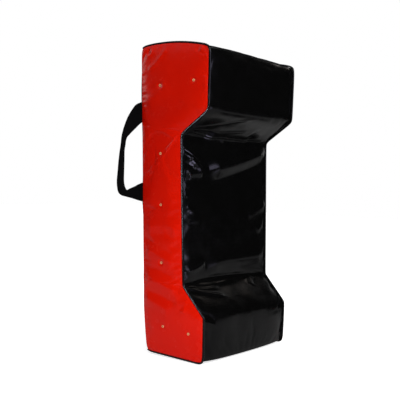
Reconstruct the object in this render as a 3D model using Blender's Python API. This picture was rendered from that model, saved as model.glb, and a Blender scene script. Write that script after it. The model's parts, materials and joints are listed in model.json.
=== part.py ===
"""Rugby hit shield: foam blocks in a zipped vinyl cover, with a webbing hand loop at each back edge.

The shield stands on its base with its front towards -Y, and the origin is the middle of the base.
Its side profile is a C: a deep block at the top, a deep block at the base and a recess between them.
Everything is in metres. The profile is drawn from the front seam at y = 0 and centred at the end.
"""
import math
from dataclasses import dataclass

import bmesh
import bpy
from mathutils import Matrix, Vector
from mathutils.bvhtree import BVHTree

# Overall body, measured at the seams
WIDTH_TOP = 0.380
WIDTH_BASE = 0.356
HEIGHT_FRONT = 0.750
HEIGHT_BACK = 0.762
DEPTH_TOP = 0.2109
DEPTH_BASE = 0.1827
TOP_RISE = 0.009
FRONT_SEAM_HEIGHT = 0.0056
BACK_SEAM_HEIGHT = 0.0105
BASE_TUCK = 0.009
TUCK_HEIGHT = 0.115
TUCK_POWER = 1.3

# Front profile
TOP_BLOCK_HEIGHT = 0.146
UPPER_SLOPE_DROP = 0.056
RECESS_DEPTH_TOP = 0.081
RECESS_DEPTH_LOW = 0.065
LOWER_SLOPE_RISE = 0.069
BASE_BLOCK_HEIGHT = 0.112
RADIUS_FRONT_BASE = 0.009
RADIUS_FOLD = 0.014
RADIUS_RECESS = 0.020
RADIUS_FRONT_TOP = 0.012
RADIUS_BACK_TOP = 0.012
RADIUS_BACK_BASE = 0.012

# How far the cover stands out between the seams
SIDE_CROWN = 0.007
TOP_CROWN = 0.005
FACE_CROWN = 0.005
FOLD_CROWN = 0.003
SLOPE_CROWN = 0.001
RECESS_HEAD_CROWN = -0.006
RECESS_FOOT_CROWN = -0.003
RECESS_CROWN = 0.003
BASE_EDGE_CROWN = 0.0056
BASE_CROWN = 0.018
BACK_CROWN = 0.005
CROWN_POWER = 4
SIDE_END_POWER = 14

# Cover and foam
COVER_THICKNESS = 0.0009
GAP = 0.0003
FOAM_SIDE_GAP = 0.0023
FOAM_SPLIT_LEAD = 0.0045
WELT_RADIUS = 0.0025

# Hand loops of webbing
STRAP_WIDTH = 0.050
STRAP_THICKNESS = 0.0014
GRIP_WIDTH = 0.015
GRIP_THICKNESS = 0.009
HANDLE_SPAN = 0.1985
GRIP_TOP_DROP = 0.0805
GRIP_FOOT_RISE = 0.030
GRIP_TOP_REACH = 0.0485
GRIP_FOOT_REACH = 0.055
HANDLE_SPLAY = math.radians(45)
ANCHOR_LENGTH = 0.040
ANCHOR_SETBACK = 0.003

# Vent eyelets
VENT_INSET_BACK = 0.065
VENT_INSET_FRONT = 0.039
EYELET_RADIUS = 0.0040
EYELET_BARREL_RADIUS = 0.0024
EYELET_HOLE_RADIUS = 0.0018
EYELET_CURL_RADIUS = 0.0033
EYELET_RIM_THICKNESS = 0.0004
EYELET_DOME = 0.0006
EYELET_CURL_THICKNESS = 0.0004
WASHER_RADIUS = 0.0043
WASHER_THICKNESS = 0.0004

# Zip down the middle of the back
ZIP_TOP_DROP = 0.067
ZIP_FOOT_HEIGHT = 0.135
ZIP_WINDOW_HALF_WIDTH = 0.0065
ZIP_WINDOW_END = 0.008
ZIP_WINDOW_TAPER = 0.006
TAPE_WIDTH = 0.014
TAPE_THICKNESS = 0.0008
CHAIN_HALF_GAP = 0.0006
CHAIN_WIDTH = 0.0038
CHAIN_THICKNESS = 0.0032
CHAIN_CHAMFER = 0.0007
TOP_STOP_LENGTH = 0.003
BOTTOM_STOP_LENGTH = 0.005
SLIDER_LENGTH = 0.014
SLIDER_HALF_WIDTH = 0.0055
SLIDER_PLATE = 0.0014
SLIDER_FLANGE = 0.0006
SLIDER_WEB_HALF = 0.0003
BRIDGE_HALF_WIDTH = 0.0015
BRIDGE_THICKNESS = 0.0010
TAB_LENGTH = 0.026
TAB_TOP_HALF_WIDTH = 0.0034
TAB_FOOT_HALF_WIDTH = 0.0045
TAB_THICKNESS = 0.0014
TAB_BAR = 0.0016
TAB_WINDOW_HALF_WIDTH = 0.0021
TAB_CHAMFER = 0.0015
CHANNEL_SPARE = 0.0008
CHANNEL_END_SPARE = 0.020
OVERRUN = 0.010

# Shares that place grid lines and repeated pieces
SIDE_COLUMN_SHARES = (0.12, 0.25, 0.42, 0.58, 0.75, 0.88)
SLEEVE_COLUMN_SHARES = (0.2, 0.6, 0.85)
HANDLE_MID_SHARE = 0.6578
VENT_HEIGHT_SHARES = (0.101, 0.306, 0.492, 0.656, 0.873)
VENT_TOP_BLOCK_SHARE = 0.53
VENT_BASE_BLOCK_SHARE = 0.63
UPPER_BEND_SHARES = ((0.45, 0.105), (0.95, 0.50))
LOWER_BEND_SHARES = ((1.01, 0.20), (0.73, 0.0))
UPPER_FLARE_END_SHARE = 0.68
UPPER_FLARE_POWER = 1.5
UPPER_TURN_POWER = 1.8
LOWER_FLARE_POWER = 1.8
LOWER_TURN_POWER = 1.2
STRAP_EDGE_SHARE = 0.5

# Counts
CORNER_STEP_COUNT = 2
RECESS_STEP_COUNT = 3
BASE_FACE_CELL_COUNT = 2
SLOPE_CELL_COUNT = 2
RECESS_CELL_COUNT = 5
TOP_FACE_CELL_COUNT = 3
BACK_PANEL_CELL_COUNT = 4
UPPER_ARM_STEP_COUNT = 9
GRIP_STEP_COUNT = 4
LOWER_ARM_STEP_COUNT = 9
VENT_SEGMENT_COUNT = 10
WELT_ROUNDING_COUNT = 1

# Heights that follow from the sizes above
UPPER_FOLD_HEIGHT = HEIGHT_FRONT - TOP_BLOCK_HEIGHT
RECESS_TOP_HEIGHT = UPPER_FOLD_HEIGHT - UPPER_SLOPE_DROP
RECESS_LOW_HEIGHT = BASE_BLOCK_HEIGHT + LOWER_SLOPE_RISE
HANDLE_TOP_HEIGHT = HANDLE_MID_SHARE * HEIGHT_BACK + HANDLE_SPAN / 2
HANDLE_FOOT_HEIGHT = HANDLE_TOP_HEIGHT - HANDLE_SPAN
GRIP_TOP_HEIGHT = HANDLE_TOP_HEIGHT - GRIP_TOP_DROP
GRIP_FOOT_HEIGHT = HANDLE_FOOT_HEIGHT + GRIP_FOOT_RISE
ZIP_LENGTH = HEIGHT_BACK - ZIP_TOP_DROP - ZIP_FOOT_HEIGHT
ZIP_MID_HEIGHT = ZIP_FOOT_HEIGHT + ZIP_LENGTH / 2
EDGE_SHARE = 1 - 2 * (WELT_RADIUS + GAP) / (WIDTH_BASE / 2)
CHAIN_EDGE = CHAIN_HALF_GAP + CHAIN_WIDTH
TAPE_TOP = -COVER_THICKNESS - GAP
CHAIN_MID = TAPE_TOP - TAPE_THICKNESS / 2


@dataclass
class Station:
    """One point of the side profile, its outward normal and how far the cover stands out there."""
    y: float
    z: float
    crown: float
    ny: float = 0.0
    nz: float = 0.0


def lerp(start, end, share):
    return start + (end - start) * share


def bezier(points, share):
    """Point at a share of a Bezier curve, by repeated halving between its control points."""
    while len(points) > 1:
        points = [tuple(lerp(p, q, share) for p, q in zip(a, b)) for a, b in zip(points, points[1:])]
    return points[0]


def half_width(z):
    return lerp(WIDTH_BASE, WIDTH_TOP, z / HEIGHT_BACK) / 2


def back_depth(z):
    """Depth of the back seam: a straight line that tucks in above the base."""
    tuck = max(0.0, 1 - z / TUCK_HEIGHT) ** TUCK_POWER
    return lerp(DEPTH_BASE, DEPTH_TOP, z / HEIGHT_BACK) - BASE_TUCK * tuck


def corner_arc(before, corner, after, radius, steps, crown):
    """Stations along the arc that rounds a corner of the profile."""
    corner = Vector(corner)
    to_before = (Vector(before) - corner).normalized()
    to_after = (Vector(after) - corner).normalized()
    half_angle = to_before.angle(to_after) / 2
    centre = corner + (to_before + to_after).normalized() * radius / math.sin(half_angle)
    start = corner + to_before * radius / math.tan(half_angle) - centre
    turn = start.angle_signed(corner + to_after * radius / math.tan(half_angle) - centre)
    points = [centre + Matrix.Rotation(-turn * i / steps, 2) @ start for i in range(steps + 1)]
    return [Station(p.x, p.y, crown) for p in points]


def span(start, end, shares, crown_between, bend=None):
    """Stations between two others, straight or bent towards a control point."""
    controls = [(start.y, start.z), (end.y, end.z)]
    if bend:
        controls.insert(1, bend)
    found = []
    for share in shares:
        y, z = bezier(controls, share)
        end_crown = start.crown if share < 1 / 2 else end.crown
        found.append(Station(y, z, lerp(end_crown, crown_between, math.sin(math.pi * share))))
    return found


def even_shares(cells):
    return [i / cells for i in range(1, cells)]


def side_profile():
    """The closed side profile as four paths: front and back upwards, base and top backwards."""
    top_bend = (DEPTH_TOP / 2, (HEIGHT_FRONT + HEIGHT_BACK) / 2 + 2 * TOP_RISE)
    corners = {
        "front_base": (0.0, FRONT_SEAM_HEIGHT),
        "lower_fold": (0.0, BASE_BLOCK_HEIGHT),
        "recess_foot": (RECESS_DEPTH_LOW, RECESS_LOW_HEIGHT),
        "recess_head": (RECESS_DEPTH_TOP, RECESS_TOP_HEIGHT),
        "upper_fold": (0.0, UPPER_FOLD_HEIGHT),
        "front_top": (0.0, HEIGHT_FRONT),
        "back_top": (back_depth(HEIGHT_BACK), HEIGHT_BACK),
        "back_base": (back_depth(BACK_SEAM_HEIGHT), BACK_SEAM_HEIGHT),
    }
    back_low = (back_depth(TUCK_HEIGHT / 2), TUCK_HEIGHT / 2)
    back_high = (back_depth(UPPER_FOLD_HEIGHT), UPPER_FOLD_HEIGHT)

    def arc(before, name, after, radius, steps, crown):
        place = [corners.get(p, p) for p in (before, name, after)]
        return corner_arc(*place, radius, steps, crown)

    front_base = arc("back_base", "front_base", "lower_fold", RADIUS_FRONT_BASE, CORNER_STEP_COUNT,
                     BASE_EDGE_CROWN)
    lower_fold = arc("front_base", "lower_fold", "recess_foot", RADIUS_FOLD, CORNER_STEP_COUNT, FOLD_CROWN)
    recess_foot = arc("lower_fold", "recess_foot", "recess_head", RADIUS_RECESS, RECESS_STEP_COUNT,
                      RECESS_FOOT_CROWN)
    recess_head = arc("recess_foot", "recess_head", "upper_fold", RADIUS_RECESS, RECESS_STEP_COUNT,
                      RECESS_HEAD_CROWN)
    upper_fold = arc("recess_head", "upper_fold", "front_top", RADIUS_FOLD, CORNER_STEP_COUNT, FOLD_CROWN)
    front_top = arc("upper_fold", "front_top", top_bend, RADIUS_FRONT_TOP, CORNER_STEP_COUNT, FACE_CROWN)
    back_top = arc(top_bend, "back_top", back_high, RADIUS_BACK_TOP, CORNER_STEP_COUNT, BACK_CROWN)
    back_base = arc(back_low, "back_base", "front_base", RADIUS_BACK_BASE, CORNER_STEP_COUNT,
                    BASE_EDGE_CROWN)

    half = CORNER_STEP_COUNT // 2
    front = front_base[half:]
    for arc_stations, cells, crown in (
        (lower_fold, BASE_FACE_CELL_COUNT, FACE_CROWN),
        (recess_foot, SLOPE_CELL_COUNT, SLOPE_CROWN),
        (recess_head, RECESS_CELL_COUNT, RECESS_CROWN),
        (upper_fold, SLOPE_CELL_COUNT, SLOPE_CROWN),
        (front_top[:half + 1], TOP_FACE_CELL_COUNT, FACE_CROWN),
    ):
        front += span(front[-1], arc_stations[0], even_shares(cells), crown) + arc_stations

    top = front_top[half:] + span(front_top[-1], back_top[0], SIDE_COLUMN_SHARES, TOP_CROWN, top_bend)
    top += back_top[:half + 1]

    base = front_base[half::-1]
    base += span(base[-1], back_base[-1], SIDE_COLUMN_SHARES, BASE_CROWN) + back_base[:half - 1:-1]

    back = back_base[half::-1]
    foot, head = back[-1], back_top[-1]
    rows = front[half + 1:len(front) - half - 1]
    for row in rows:
        share = (row.z - front[half].z) / (front[-1 - half].z - front[half].z)
        z = lerp(foot.z, head.z, share)
        back.append(Station(back_depth(z), z, BACK_CROWN))
    back += back_top[:half - 1:-1]

    loop = front + top[1:] + back[-2::-1] + base[-2:0:-1]
    for before, here, after in zip([loop[-1]] + loop, loop, loop[1:] + loop[:1]):
        along = Vector((after.y - before.y, after.z - before.z)).normalized()
        here.ny, here.nz = -along.y, along.x
    back[-1], base[0], base[-1], top[0] = top[-1], front[0], back[0], front[-1]
    return front, top, back, base


FRONT, TOP, BACK, BASE = side_profile()


def crown_factor(share):
    """Rounded shoulders with a nearly flat middle, nothing left at the welts."""
    return max(0.0, 1 - abs(share / EDGE_SHARE) ** CROWN_POWER)


def sleeve_point(station, share, inset, side_inset):
    """Point of the cover's wrap-around surface at a share of the half width, moved in by an inset."""
    stand_out = station.crown * crown_factor(share)
    y = station.y + station.ny * stand_out
    z = max(0.0, station.z + station.nz * stand_out)
    y, z = y - station.ny * inset, z - station.nz * inset
    x = share * half_width(z)
    if abs(share) == 1:
        x -= math.copysign(side_inset, share)
    return Vector((x, y, z))


SLEEVE_SHARES = [*SLEEVE_COLUMN_SHARES, EDGE_SHARE, 1]
SLEEVE_SHARES = [-share for share in reversed(SLEEVE_SHARES)] + SLEEVE_SHARES


def pillow(across, up):
    """Crown of a side panel at its shares of depth and height, nothing left at its seams."""
    return (1 - abs(2 * across - 1) ** CROWN_POWER) * (1 - abs(2 * up - 1) ** SIDE_END_POWER)


def side_grid(front, top, back, base, side, inset):
    """Rows of points that fill a side between four edges, given as (y, z) pairs."""
    columns = [(p[0] - top[0][0]) / (top[-1][0] - top[0][0]) for p in top]
    grid = []
    for i, (left, right) in enumerate(zip(front, back)):
        up = (left[1] - front[0][1]) / (front[-1][1] - front[0][1])
        row = []
        for j, across in enumerate(columns):
            place = [
                lerp(left[k], right[k], across) + lerp(base[j][k], top[j][k], up)
                - lerp(lerp(front[0][k], back[0][k], across), lerp(front[-1][k], back[-1][k], across), up)
                for k in (0, 1)
            ]
            stand_out = SIDE_CROWN * pillow(across, up)
            row.append(Vector((side * (half_width(place[1]) + stand_out - inset), *place)))
        grid.append(row)
    return grid


def pairs(stations):
    return [(s.y, s.z) for s in stations]


def trimmed(stations):
    """The same path, shortened at both ends by half the gap between panels."""
    stations = [Station(s.y, s.z, s.crown, s.ny, s.nz) for s in stations]
    for end, beside in ((stations[0], stations[1]), (stations[-1], stations[-2])):
        share = GAP / 2 / math.dist((end.y, end.z), (beside.y, beside.z))
        for name in ("y", "z", "ny", "nz"):
            setattr(end, name, lerp(getattr(end, name), getattr(beside, name), share))
    return stations


def clear_scene():
    for item in list(bpy.data.objects):
        bpy.data.objects.remove(item, do_unlink=True)


def make_material(name, colour, roughness, metallic=0.0):
    material = bpy.data.materials.new(name)
    material.use_nodes = True
    shader = material.node_tree.nodes["Principled BSDF"]
    shader.inputs["Base Color"].default_value = (*colour, 1.0)
    shader.inputs["Roughness"].default_value = roughness
    shader.inputs["Metallic"].default_value = metallic
    return material


def add_object(name, data, material, parent=None, matrix=None):
    item = bpy.data.objects.new(name, data)
    if material:
        item.data.materials.append(material)
    bpy.context.collection.objects.link(item)
    item.parent = parent
    if matrix is not None:
        item.matrix_local = matrix
    return item


def finish_mesh(name, builder, smooth_angle=None):
    """Turn a bmesh into a mesh whose faces all point outwards."""
    bmesh.ops.recalc_face_normals(builder, faces=builder.faces)
    mesh = bpy.data.meshes.new(name)
    builder.to_mesh(mesh)
    builder.free()
    if smooth_angle:
        mesh.shade_smooth()
        mesh.set_sharp_from_angle(angle=smooth_angle)
    return mesh


SOFT_EDGE = math.radians(50)


def add_grid(builder, grid):
    """Fill a grid of points with triangles, all split the same way, and return its vertices."""
    verts = [[builder.verts.new(point) for point in row] for row in grid]
    for low, high in zip(verts, verts[1:]):
        for a, b, c, d in zip(low, low[1:], high[1:], high):
            builder.faces.new((a, b, c))
            builder.faces.new((a, c, d))
    return verts


def rim(grid):
    return grid[0] + [row[-1] for row in grid[1:-1]] + grid[-1][::-1] + [row[0] for row in grid[-2:0:-1]]


def shell_mesh(name, outer, inner):
    """A thin closed panel between two grids of the same layout."""
    builder = bmesh.new()
    outer_rim = rim(add_grid(builder, outer))
    inner_rim = rim(add_grid(builder, inner))
    around = list(zip(outer_rim, inner_rim))
    for (a, b), (d, c) in zip(around, around[1:] + around[:1]):
        builder.faces.new((a, b, c, d))
    return finish_mesh(name, builder, SOFT_EDGE)


def box_mesh(name, low, high, chamfer=0.0):
    """A block between two corners, its long edges chamfered where asked."""
    builder = bmesh.new()
    bmesh.ops.create_cube(builder, size=1)
    centre = (Vector(low) + Vector(high)) / 2
    size = Vector(high) - Vector(low)
    bmesh.ops.transform(builder, matrix=Matrix.Translation(centre) @ Matrix.Diagonal((*size, 1)),
                        verts=builder.verts)
    if chamfer:
        long_edges = [e for e in builder.edges if abs((e.verts[0].co - e.verts[1].co).z) > chamfer]
        bmesh.ops.bevel(builder, geom=long_edges, offset=chamfer, segments=1, affect="EDGES")
    return finish_mesh(name, builder)


def extruded_mesh(name, outline, low, high):
    """An outline in X and Y, extruded along Z between two levels."""
    builder = bmesh.new()
    face = builder.faces.new([builder.verts.new((x, y, low)) for x, y in outline])
    grown = bmesh.ops.extrude_face_region(builder, geom=[face])
    moved = [v for v in grown["geom"] if isinstance(v, bmesh.types.BMVert)]
    bmesh.ops.translate(builder, verts=moved, vec=(0, 0, high - low))
    return finish_mesh(name, builder)


def ring_mesh(name, profile):
    """A ring turned about Z from one closed profile of (radius, height) points."""
    builder = bmesh.new()
    rings = []
    for i in range(VENT_SEGMENT_COUNT):
        angle = math.tau * i / VENT_SEGMENT_COUNT
        rings.append([builder.verts.new((r * math.cos(angle), r * math.sin(angle), h)) for r, h in profile])
    for ring, following in zip(rings, rings[1:] + rings[:1]):
        for k in range(len(profile)):
            builder.faces.new((ring[k - 1], following[k - 1], following[k], ring[k]))
    return finish_mesh(name, builder, SOFT_EDGE)


def cut_with(item, cutter):
    """Subtract a cutter, which stays in the file as a hidden guide."""
    cutter.hide_render = True
    cutter.display_type = "WIRE"
    cut = item.modifiers.new(cutter.name, "BOOLEAN")
    cut.operation = "DIFFERENCE"
    cut.object = cutter


def join_with(item, other):
    """Fuse a second solid into the first, which keeps its name."""
    other.hide_render = True
    other.display_type = "WIRE"
    union = item.modifiers.new(other.name, "BOOLEAN")
    union.operation = "UNION"
    union.object = other


def side_name(side):
    return "left" if side < 0 else "right"


def vent_places(side):
    """Frames on a side panel, outward along Z, where its vents sit."""
    points = [(back_depth(share * HEIGHT_BACK) - VENT_INSET_BACK, share * HEIGHT_BACK)
              for share in VENT_HEIGHT_SHARES]
    points.append((VENT_INSET_FRONT, HEIGHT_FRONT - VENT_TOP_BLOCK_SHARE * TOP_BLOCK_HEIGHT))
    points.append((VENT_INSET_FRONT, VENT_BASE_BLOCK_SHARE * BASE_BLOCK_HEIGHT))
    surface = panel_surface(side)
    places = []
    for y, z in points:
        point, outward = on_panel(surface, side, y, z)
        places.append(Matrix.LocRotScale(point, outward.to_track_quat("Z", "Y"), None))
    return places


def panel_grid(side, inset):
    return side_grid(*(pairs(path) for path in (FRONT, TOP, BACK, BASE)), side, inset)


def panel_surface(side):
    """Outer face of a side panel, ready for finding points on it."""
    builder = bmesh.new()
    add_grid(builder, panel_grid(side, 0.0))
    builder.normal_update()
    surface = BVHTree.FromBMesh(builder)
    builder.free()
    return surface


def on_panel(surface, side, y, z):
    """Point and outward direction of a side panel at a given depth and height."""
    point, normal, _, _ = surface.ray_cast(Vector((side * WIDTH_TOP, y, z)), Vector((-side, 0, 0)))
    return point, normal * math.copysign(1, normal.x * side)


def make_side_panel(side, vinyl):
    """Flat-cut side of the cover, crowned over the foam and pierced for the vents."""
    mesh = shell_mesh("side_panel", panel_grid(side, 0.0), panel_grid(side, COVER_THICKNESS))
    panel = add_object(side_name(side) + "_side_panel", mesh, vinyl)
    hole = EYELET_BARREL_RADIUS + GAP
    bore = [(hole, OVERRUN), (hole, -OVERRUN)]
    builder = bmesh.new()
    for place in vent_places(side):
        bmesh.ops.create_cone(builder, cap_ends=True, segments=VENT_SEGMENT_COUNT, radius1=hole, radius2=hole,
                              depth=bore[0][1] - bore[1][1], matrix=place)
    cutter = add_object(side_name(side) + "_vent_cutter", finish_mesh("vent_cutter", builder), vinyl)
    cut_with(panel, cutter)


def make_vents(brass):
    """Brass eyelets through the side panels, each closed over a washer inside."""
    washer_top = -COVER_THICKNESS - GAP
    washer_foot = washer_top - WASHER_THICKNESS
    curl_top = washer_foot - GAP
    rim_top = GAP + EYELET_RIM_THICKNESS
    eyelet = [
        (EYELET_HOLE_RADIUS, rim_top + EYELET_DOME), (EYELET_RADIUS, rim_top), (EYELET_RADIUS, GAP),
        (EYELET_BARREL_RADIUS, GAP), (EYELET_BARREL_RADIUS, curl_top), (EYELET_CURL_RADIUS, curl_top),
        (EYELET_CURL_RADIUS, curl_top - EYELET_CURL_THICKNESS),
        (EYELET_HOLE_RADIUS, curl_top - EYELET_CURL_THICKNESS),
    ]
    washer_hole = EYELET_BARREL_RADIUS + GAP
    washer = [(washer_hole, washer_top), (WASHER_RADIUS, washer_top), (WASHER_RADIUS, washer_foot),
              (washer_hole, washer_foot)]
    eyelet_mesh = ring_mesh("vent_eyelet", eyelet)
    washer_mesh = ring_mesh("vent_washer", washer)
    for mesh in (eyelet_mesh, washer_mesh):
        mesh.materials.append(brass)
        for side in (-1, 1):
            for number, place in enumerate(vent_places(side), start=1):
                add_object(f"{side_name(side)}_{mesh.name}_{number}", mesh, None, matrix=place)


def sleeve_shell(name, stations, shares):
    """A wrap-around panel along a path of stations, with a list of width shares for each."""
    faces = []
    for inset in (0.0, COVER_THICKNESS):
        faces.append([[sleeve_point(s, q, inset, COVER_THICKNESS + GAP) for q in row]
                      for s, row in zip(stations, shares)])
    return shell_mesh(name, *faces)


def make_wrap_panels(vinyl):
    """The black strip over the top and down the front, and the base panel that closes it."""
    strip = trimmed(FRONT + TOP[1:])
    add_object("front_strip", sleeve_shell("front_strip", strip, [SLEEVE_SHARES] * len(strip)), vinyl)
    sole = trimmed(BASE)
    add_object("base_panel", sleeve_shell("base_panel", sole, [SLEEVE_SHARES] * len(sole)), vinyl)


def zip_heights():
    """Heights at the back where the zip opening's sides start to part, and where they run parallel."""
    lean = math.cos(back_lean())
    parallel = ZIP_LENGTH / 2 + ZIP_WINDOW_END
    return [ZIP_MID_HEIGHT + offset * lean for offset in
            (-parallel - ZIP_WINDOW_TAPER, -parallel, parallel, parallel + ZIP_WINDOW_TAPER)]


def back_lean():
    """Angle by which the straight back leans away from upright."""
    return math.atan2(DEPTH_TOP - DEPTH_BASE, HEIGHT_BACK)


def make_back_panels(vinyl):
    """Two half backs that meet in a seam and part round the zip."""
    low_start, low_end, high_end, high_start = zip_heights()
    path = [s for s in BACK if s.z < TUCK_HEIGHT] + [None] + [s for s in BACK[-CORNER_STEP_COUNT:]]
    slot = path.index(None)
    straight = [low_start, low_end, *(lerp(low_end, high_end, f) for f in even_shares(BACK_PANEL_CELL_COUNT)),
                high_end, high_start]
    lean = back_lean()
    path[slot:slot + 1] = [
        Station(back_depth(z), z, BACK_CROWN, math.cos(lean), -math.sin(lean)) for z in straight
    ]
    path = trimmed(path)
    for side in (-1, 1):
        shares = []
        for station in path:
            opened = low_end <= station.z <= high_end
            inner_edge = ZIP_WINDOW_HALF_WIDTH if opened else GAP / 2
            edge_share = side * inner_edge / half_width(station.z)
            shares.append(sorted([edge_share] + [side * q for q in (*SLEEVE_COLUMN_SHARES, EDGE_SHARE, 1)]))
        name = "back_" + side_name(side) + "_panel"
        add_object(name, sleeve_shell(name, path, shares), vinyl)


def make_welts(piping):
    """Raised seam beads beside the side panels, from the top of the back over the front to the base."""
    stations = TOP[::-1] + FRONT[-2::-1] + BASE[1:]
    lift = WELT_RADIUS + GAP
    for side in (-1, 1):
        name = side_name(side) + "_welt"
        curve = bpy.data.curves.new(name, "CURVE")
        curve.dimensions = "3D"
        curve.bevel_depth = WELT_RADIUS
        curve.bevel_resolution = WELT_ROUNDING_COUNT
        curve.use_fill_caps = True
        spline = curve.splines.new("POLY")
        spline.points.add(len(stations) - 1)
        for point, s in zip(spline.points, stations):
            x = side * (half_width(s.z) - WELT_RADIUS)
            point.co = (x, s.y + s.ny * lift, s.z + s.nz * lift, 1.0)
        add_object(name, curve, piping)


def foam_core():
    """Closed body of all the foam, one gap inside the cover."""
    inset, side_inset = COVER_THICKNESS + GAP, COVER_THICKNESS + FOAM_SIDE_GAP
    builder = bmesh.new()
    for path in (FRONT, TOP, BACK, BASE):
        add_grid(builder, [[sleeve_point(s, q, inset, side_inset) for q in SLEEVE_SHARES] for s in path])
    for side in (-1, 1):
        edges = []
        for path in (FRONT, TOP, BACK, BASE):
            points = [sleeve_point(s, side, inset, side_inset) for s in path]
            edges.append([(p.y, p.z) for p in points])
        add_grid(builder, side_grid(*edges, side, side_inset))
    bmesh.ops.remove_doubles(builder, verts=builder.verts, dist=GAP / 10)
    bmesh.ops.recalc_face_normals(builder, faces=builder.faces)
    return builder


def sliced(builder, point, normal):
    """Keep what lies behind a plane and close the cut."""
    geometry = builder.verts[:] + builder.edges[:] + builder.faces[:]
    cut = bmesh.ops.bisect_plane(builder, geom=geometry, dist=GAP / 100, plane_co=point, plane_no=normal,
                                 clear_outer=True)
    edges = [e for e in cut["geom_cut"] if isinstance(e, bmesh.types.BMEdge)]
    bmesh.ops.holes_fill(builder, edges=edges)
    bmesh.ops.triangulate(builder, faces=[f for f in builder.faces if len(f.verts) > 4])


def make_foam(foam):
    """Back slab and the two front blocks, split just in front of the recess's face."""
    recess_head = Vector((0, RECESS_DEPTH_TOP, RECESS_TOP_HEIGHT))
    upwards = (recess_head - Vector((0, RECESS_DEPTH_LOW, RECESS_LOW_HEIGHT))).normalized()
    forward = Vector((0, -upwards.z, upwards.y))
    split = recess_head + forward * FOAM_SPLIT_LEAD
    middle = (0, 0, (RECESS_TOP_HEIGHT + RECESS_LOW_HEIGHT) / 2)
    slab = foam_core()
    sliced(slab, split - forward * GAP / 2, forward)
    slab_object = add_object("foam_back_slab", finish_mesh("foam_back_slab", slab, SOFT_EDGE), foam)
    for name, keep in (("foam_top_block", -1), ("foam_base_block", 1)):
        block = foam_core()
        sliced(block, split + forward * GAP / 2, -forward)
        away = [v for v in block.verts if (v.co.z - middle[2]) * keep > 0]
        bmesh.ops.delete(block, geom=away, context="VERTS")
        add_object(name, finish_mesh(name, block, SOFT_EDGE), foam)
    return slab_object


def handle_frame(side):
    """Frame of a hand loop: origin on its hinge line, Z up the seam, Y outwards from the corner."""
    def corner(z):
        return Vector((side * half_width(z), back_depth(z), z))

    middle = (HANDLE_TOP_HEIGHT + HANDLE_FOOT_HEIGHT) / 2
    up = (corner(HANDLE_TOP_HEIGHT) - corner(HANDLE_FOOT_HEIGHT)).normalized()
    outward = Vector((side * math.sin(HANDLE_SPLAY), math.cos(HANDLE_SPLAY), 0))
    outward = (outward - up * outward.dot(up)).normalized()
    normal = outward.cross(up)
    origin = corner(middle) + outward * (STRAP_THICKNESS / 2 + GAP)
    return Matrix.Translation(origin) @ Matrix((normal, outward, up)).transposed().to_4x4()


def handle_sections():
    """Centre (reach, height), width, thickness and turn of each cross-section of a hand loop."""
    upper = [
        (0.0, HANDLE_TOP_HEIGHT),
        *((reach * GRIP_TOP_REACH, lerp(HANDLE_TOP_HEIGHT, GRIP_TOP_HEIGHT, drop))
          for reach, drop in UPPER_BEND_SHARES),
        (GRIP_TOP_REACH, GRIP_TOP_HEIGHT),
    ]
    lower = [
        (GRIP_FOOT_REACH, GRIP_FOOT_HEIGHT),
        *((reach * GRIP_FOOT_REACH, lerp(HANDLE_FOOT_HEIGHT, GRIP_FOOT_HEIGHT, rise))
          for reach, rise in LOWER_BEND_SHARES),
        (0.0, HANDLE_FOOT_HEIGHT),
    ]
    sections = []
    for i in range(UPPER_ARM_STEP_COUNT):
        share = i / UPPER_ARM_STEP_COUNT
        flare = max(0.0, 1 - (share / UPPER_FLARE_END_SHARE) ** UPPER_FLARE_POWER)
        sections.append((bezier(upper, share), flare, 1 - share ** UPPER_TURN_POWER))
    for i in range(GRIP_STEP_COUNT):
        sections.append((bezier([upper[-1], lower[0]], i / GRIP_STEP_COUNT), 0.0, 0.0))
    for i in range(LOWER_ARM_STEP_COUNT + 1):
        share = 1 - i / LOWER_ARM_STEP_COUNT
        sections.append((bezier(lower, 1 - share), (1 - share) ** LOWER_FLARE_POWER,
                         share ** LOWER_TURN_POWER - 1))
    return sections


def strap_outline(width, thickness):
    """Eight corners of a flat strap's cross-section, as (along the width, through the thickness)."""
    edge = thickness / 2 * STRAP_EDGE_SHARE
    a, b = width / 2, thickness / 2
    return [(a, edge), (a - edge, b), (edge - a, b), (-a, edge), (-a, -edge), (edge - a, -b), (a - edge, -b),
            (a, -edge)]


def make_handle(side, webbing):
    """Hand loop of webbing: flat at the seam, folded into a narrow grip between."""
    middle = (HANDLE_TOP_HEIGHT + HANDLE_FOOT_HEIGHT) / 2
    sections = [
        ((reach, height - middle), lerp(GRIP_WIDTH, STRAP_WIDTH, flare),
         lerp(GRIP_THICKNESS, STRAP_THICKNESS, flare), turn * math.pi / 2)
        for (reach, height), flare, turn in handle_sections()
    ]
    for end, position in ((sections[0], 0), (sections[-1], len(sections) + 1)):
        (reach, height), width, thickness, turn = end
        tip = (reach - thickness / 2, height)
        sections.insert(position, (tip, width, thickness * STRAP_EDGE_SHARE, turn))
    builder = bmesh.new()
    rings = []
    for (reach, height), width, thickness, turn in sections:
        across = Vector((0, math.cos(turn), math.sin(turn)))
        centre = Vector((0, reach, height))
        through = Vector((1, 0, 0))
        rings.append([builder.verts.new(centre + across * w + through * t)
                      for w, t in strap_outline(width, thickness)])
    for ring, following in zip(rings, rings[1:]):
        for k in range(len(ring)):
            builder.faces.new((ring[k - 1], ring[k], following[k], following[k - 1]))
    builder.faces.new(rings[0])
    builder.faces.new(rings[-1])
    mesh = finish_mesh("handle", builder, SOFT_EDGE)
    add_object(side_name(side) + "_handle", mesh, webbing, matrix=handle_frame(side))


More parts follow.
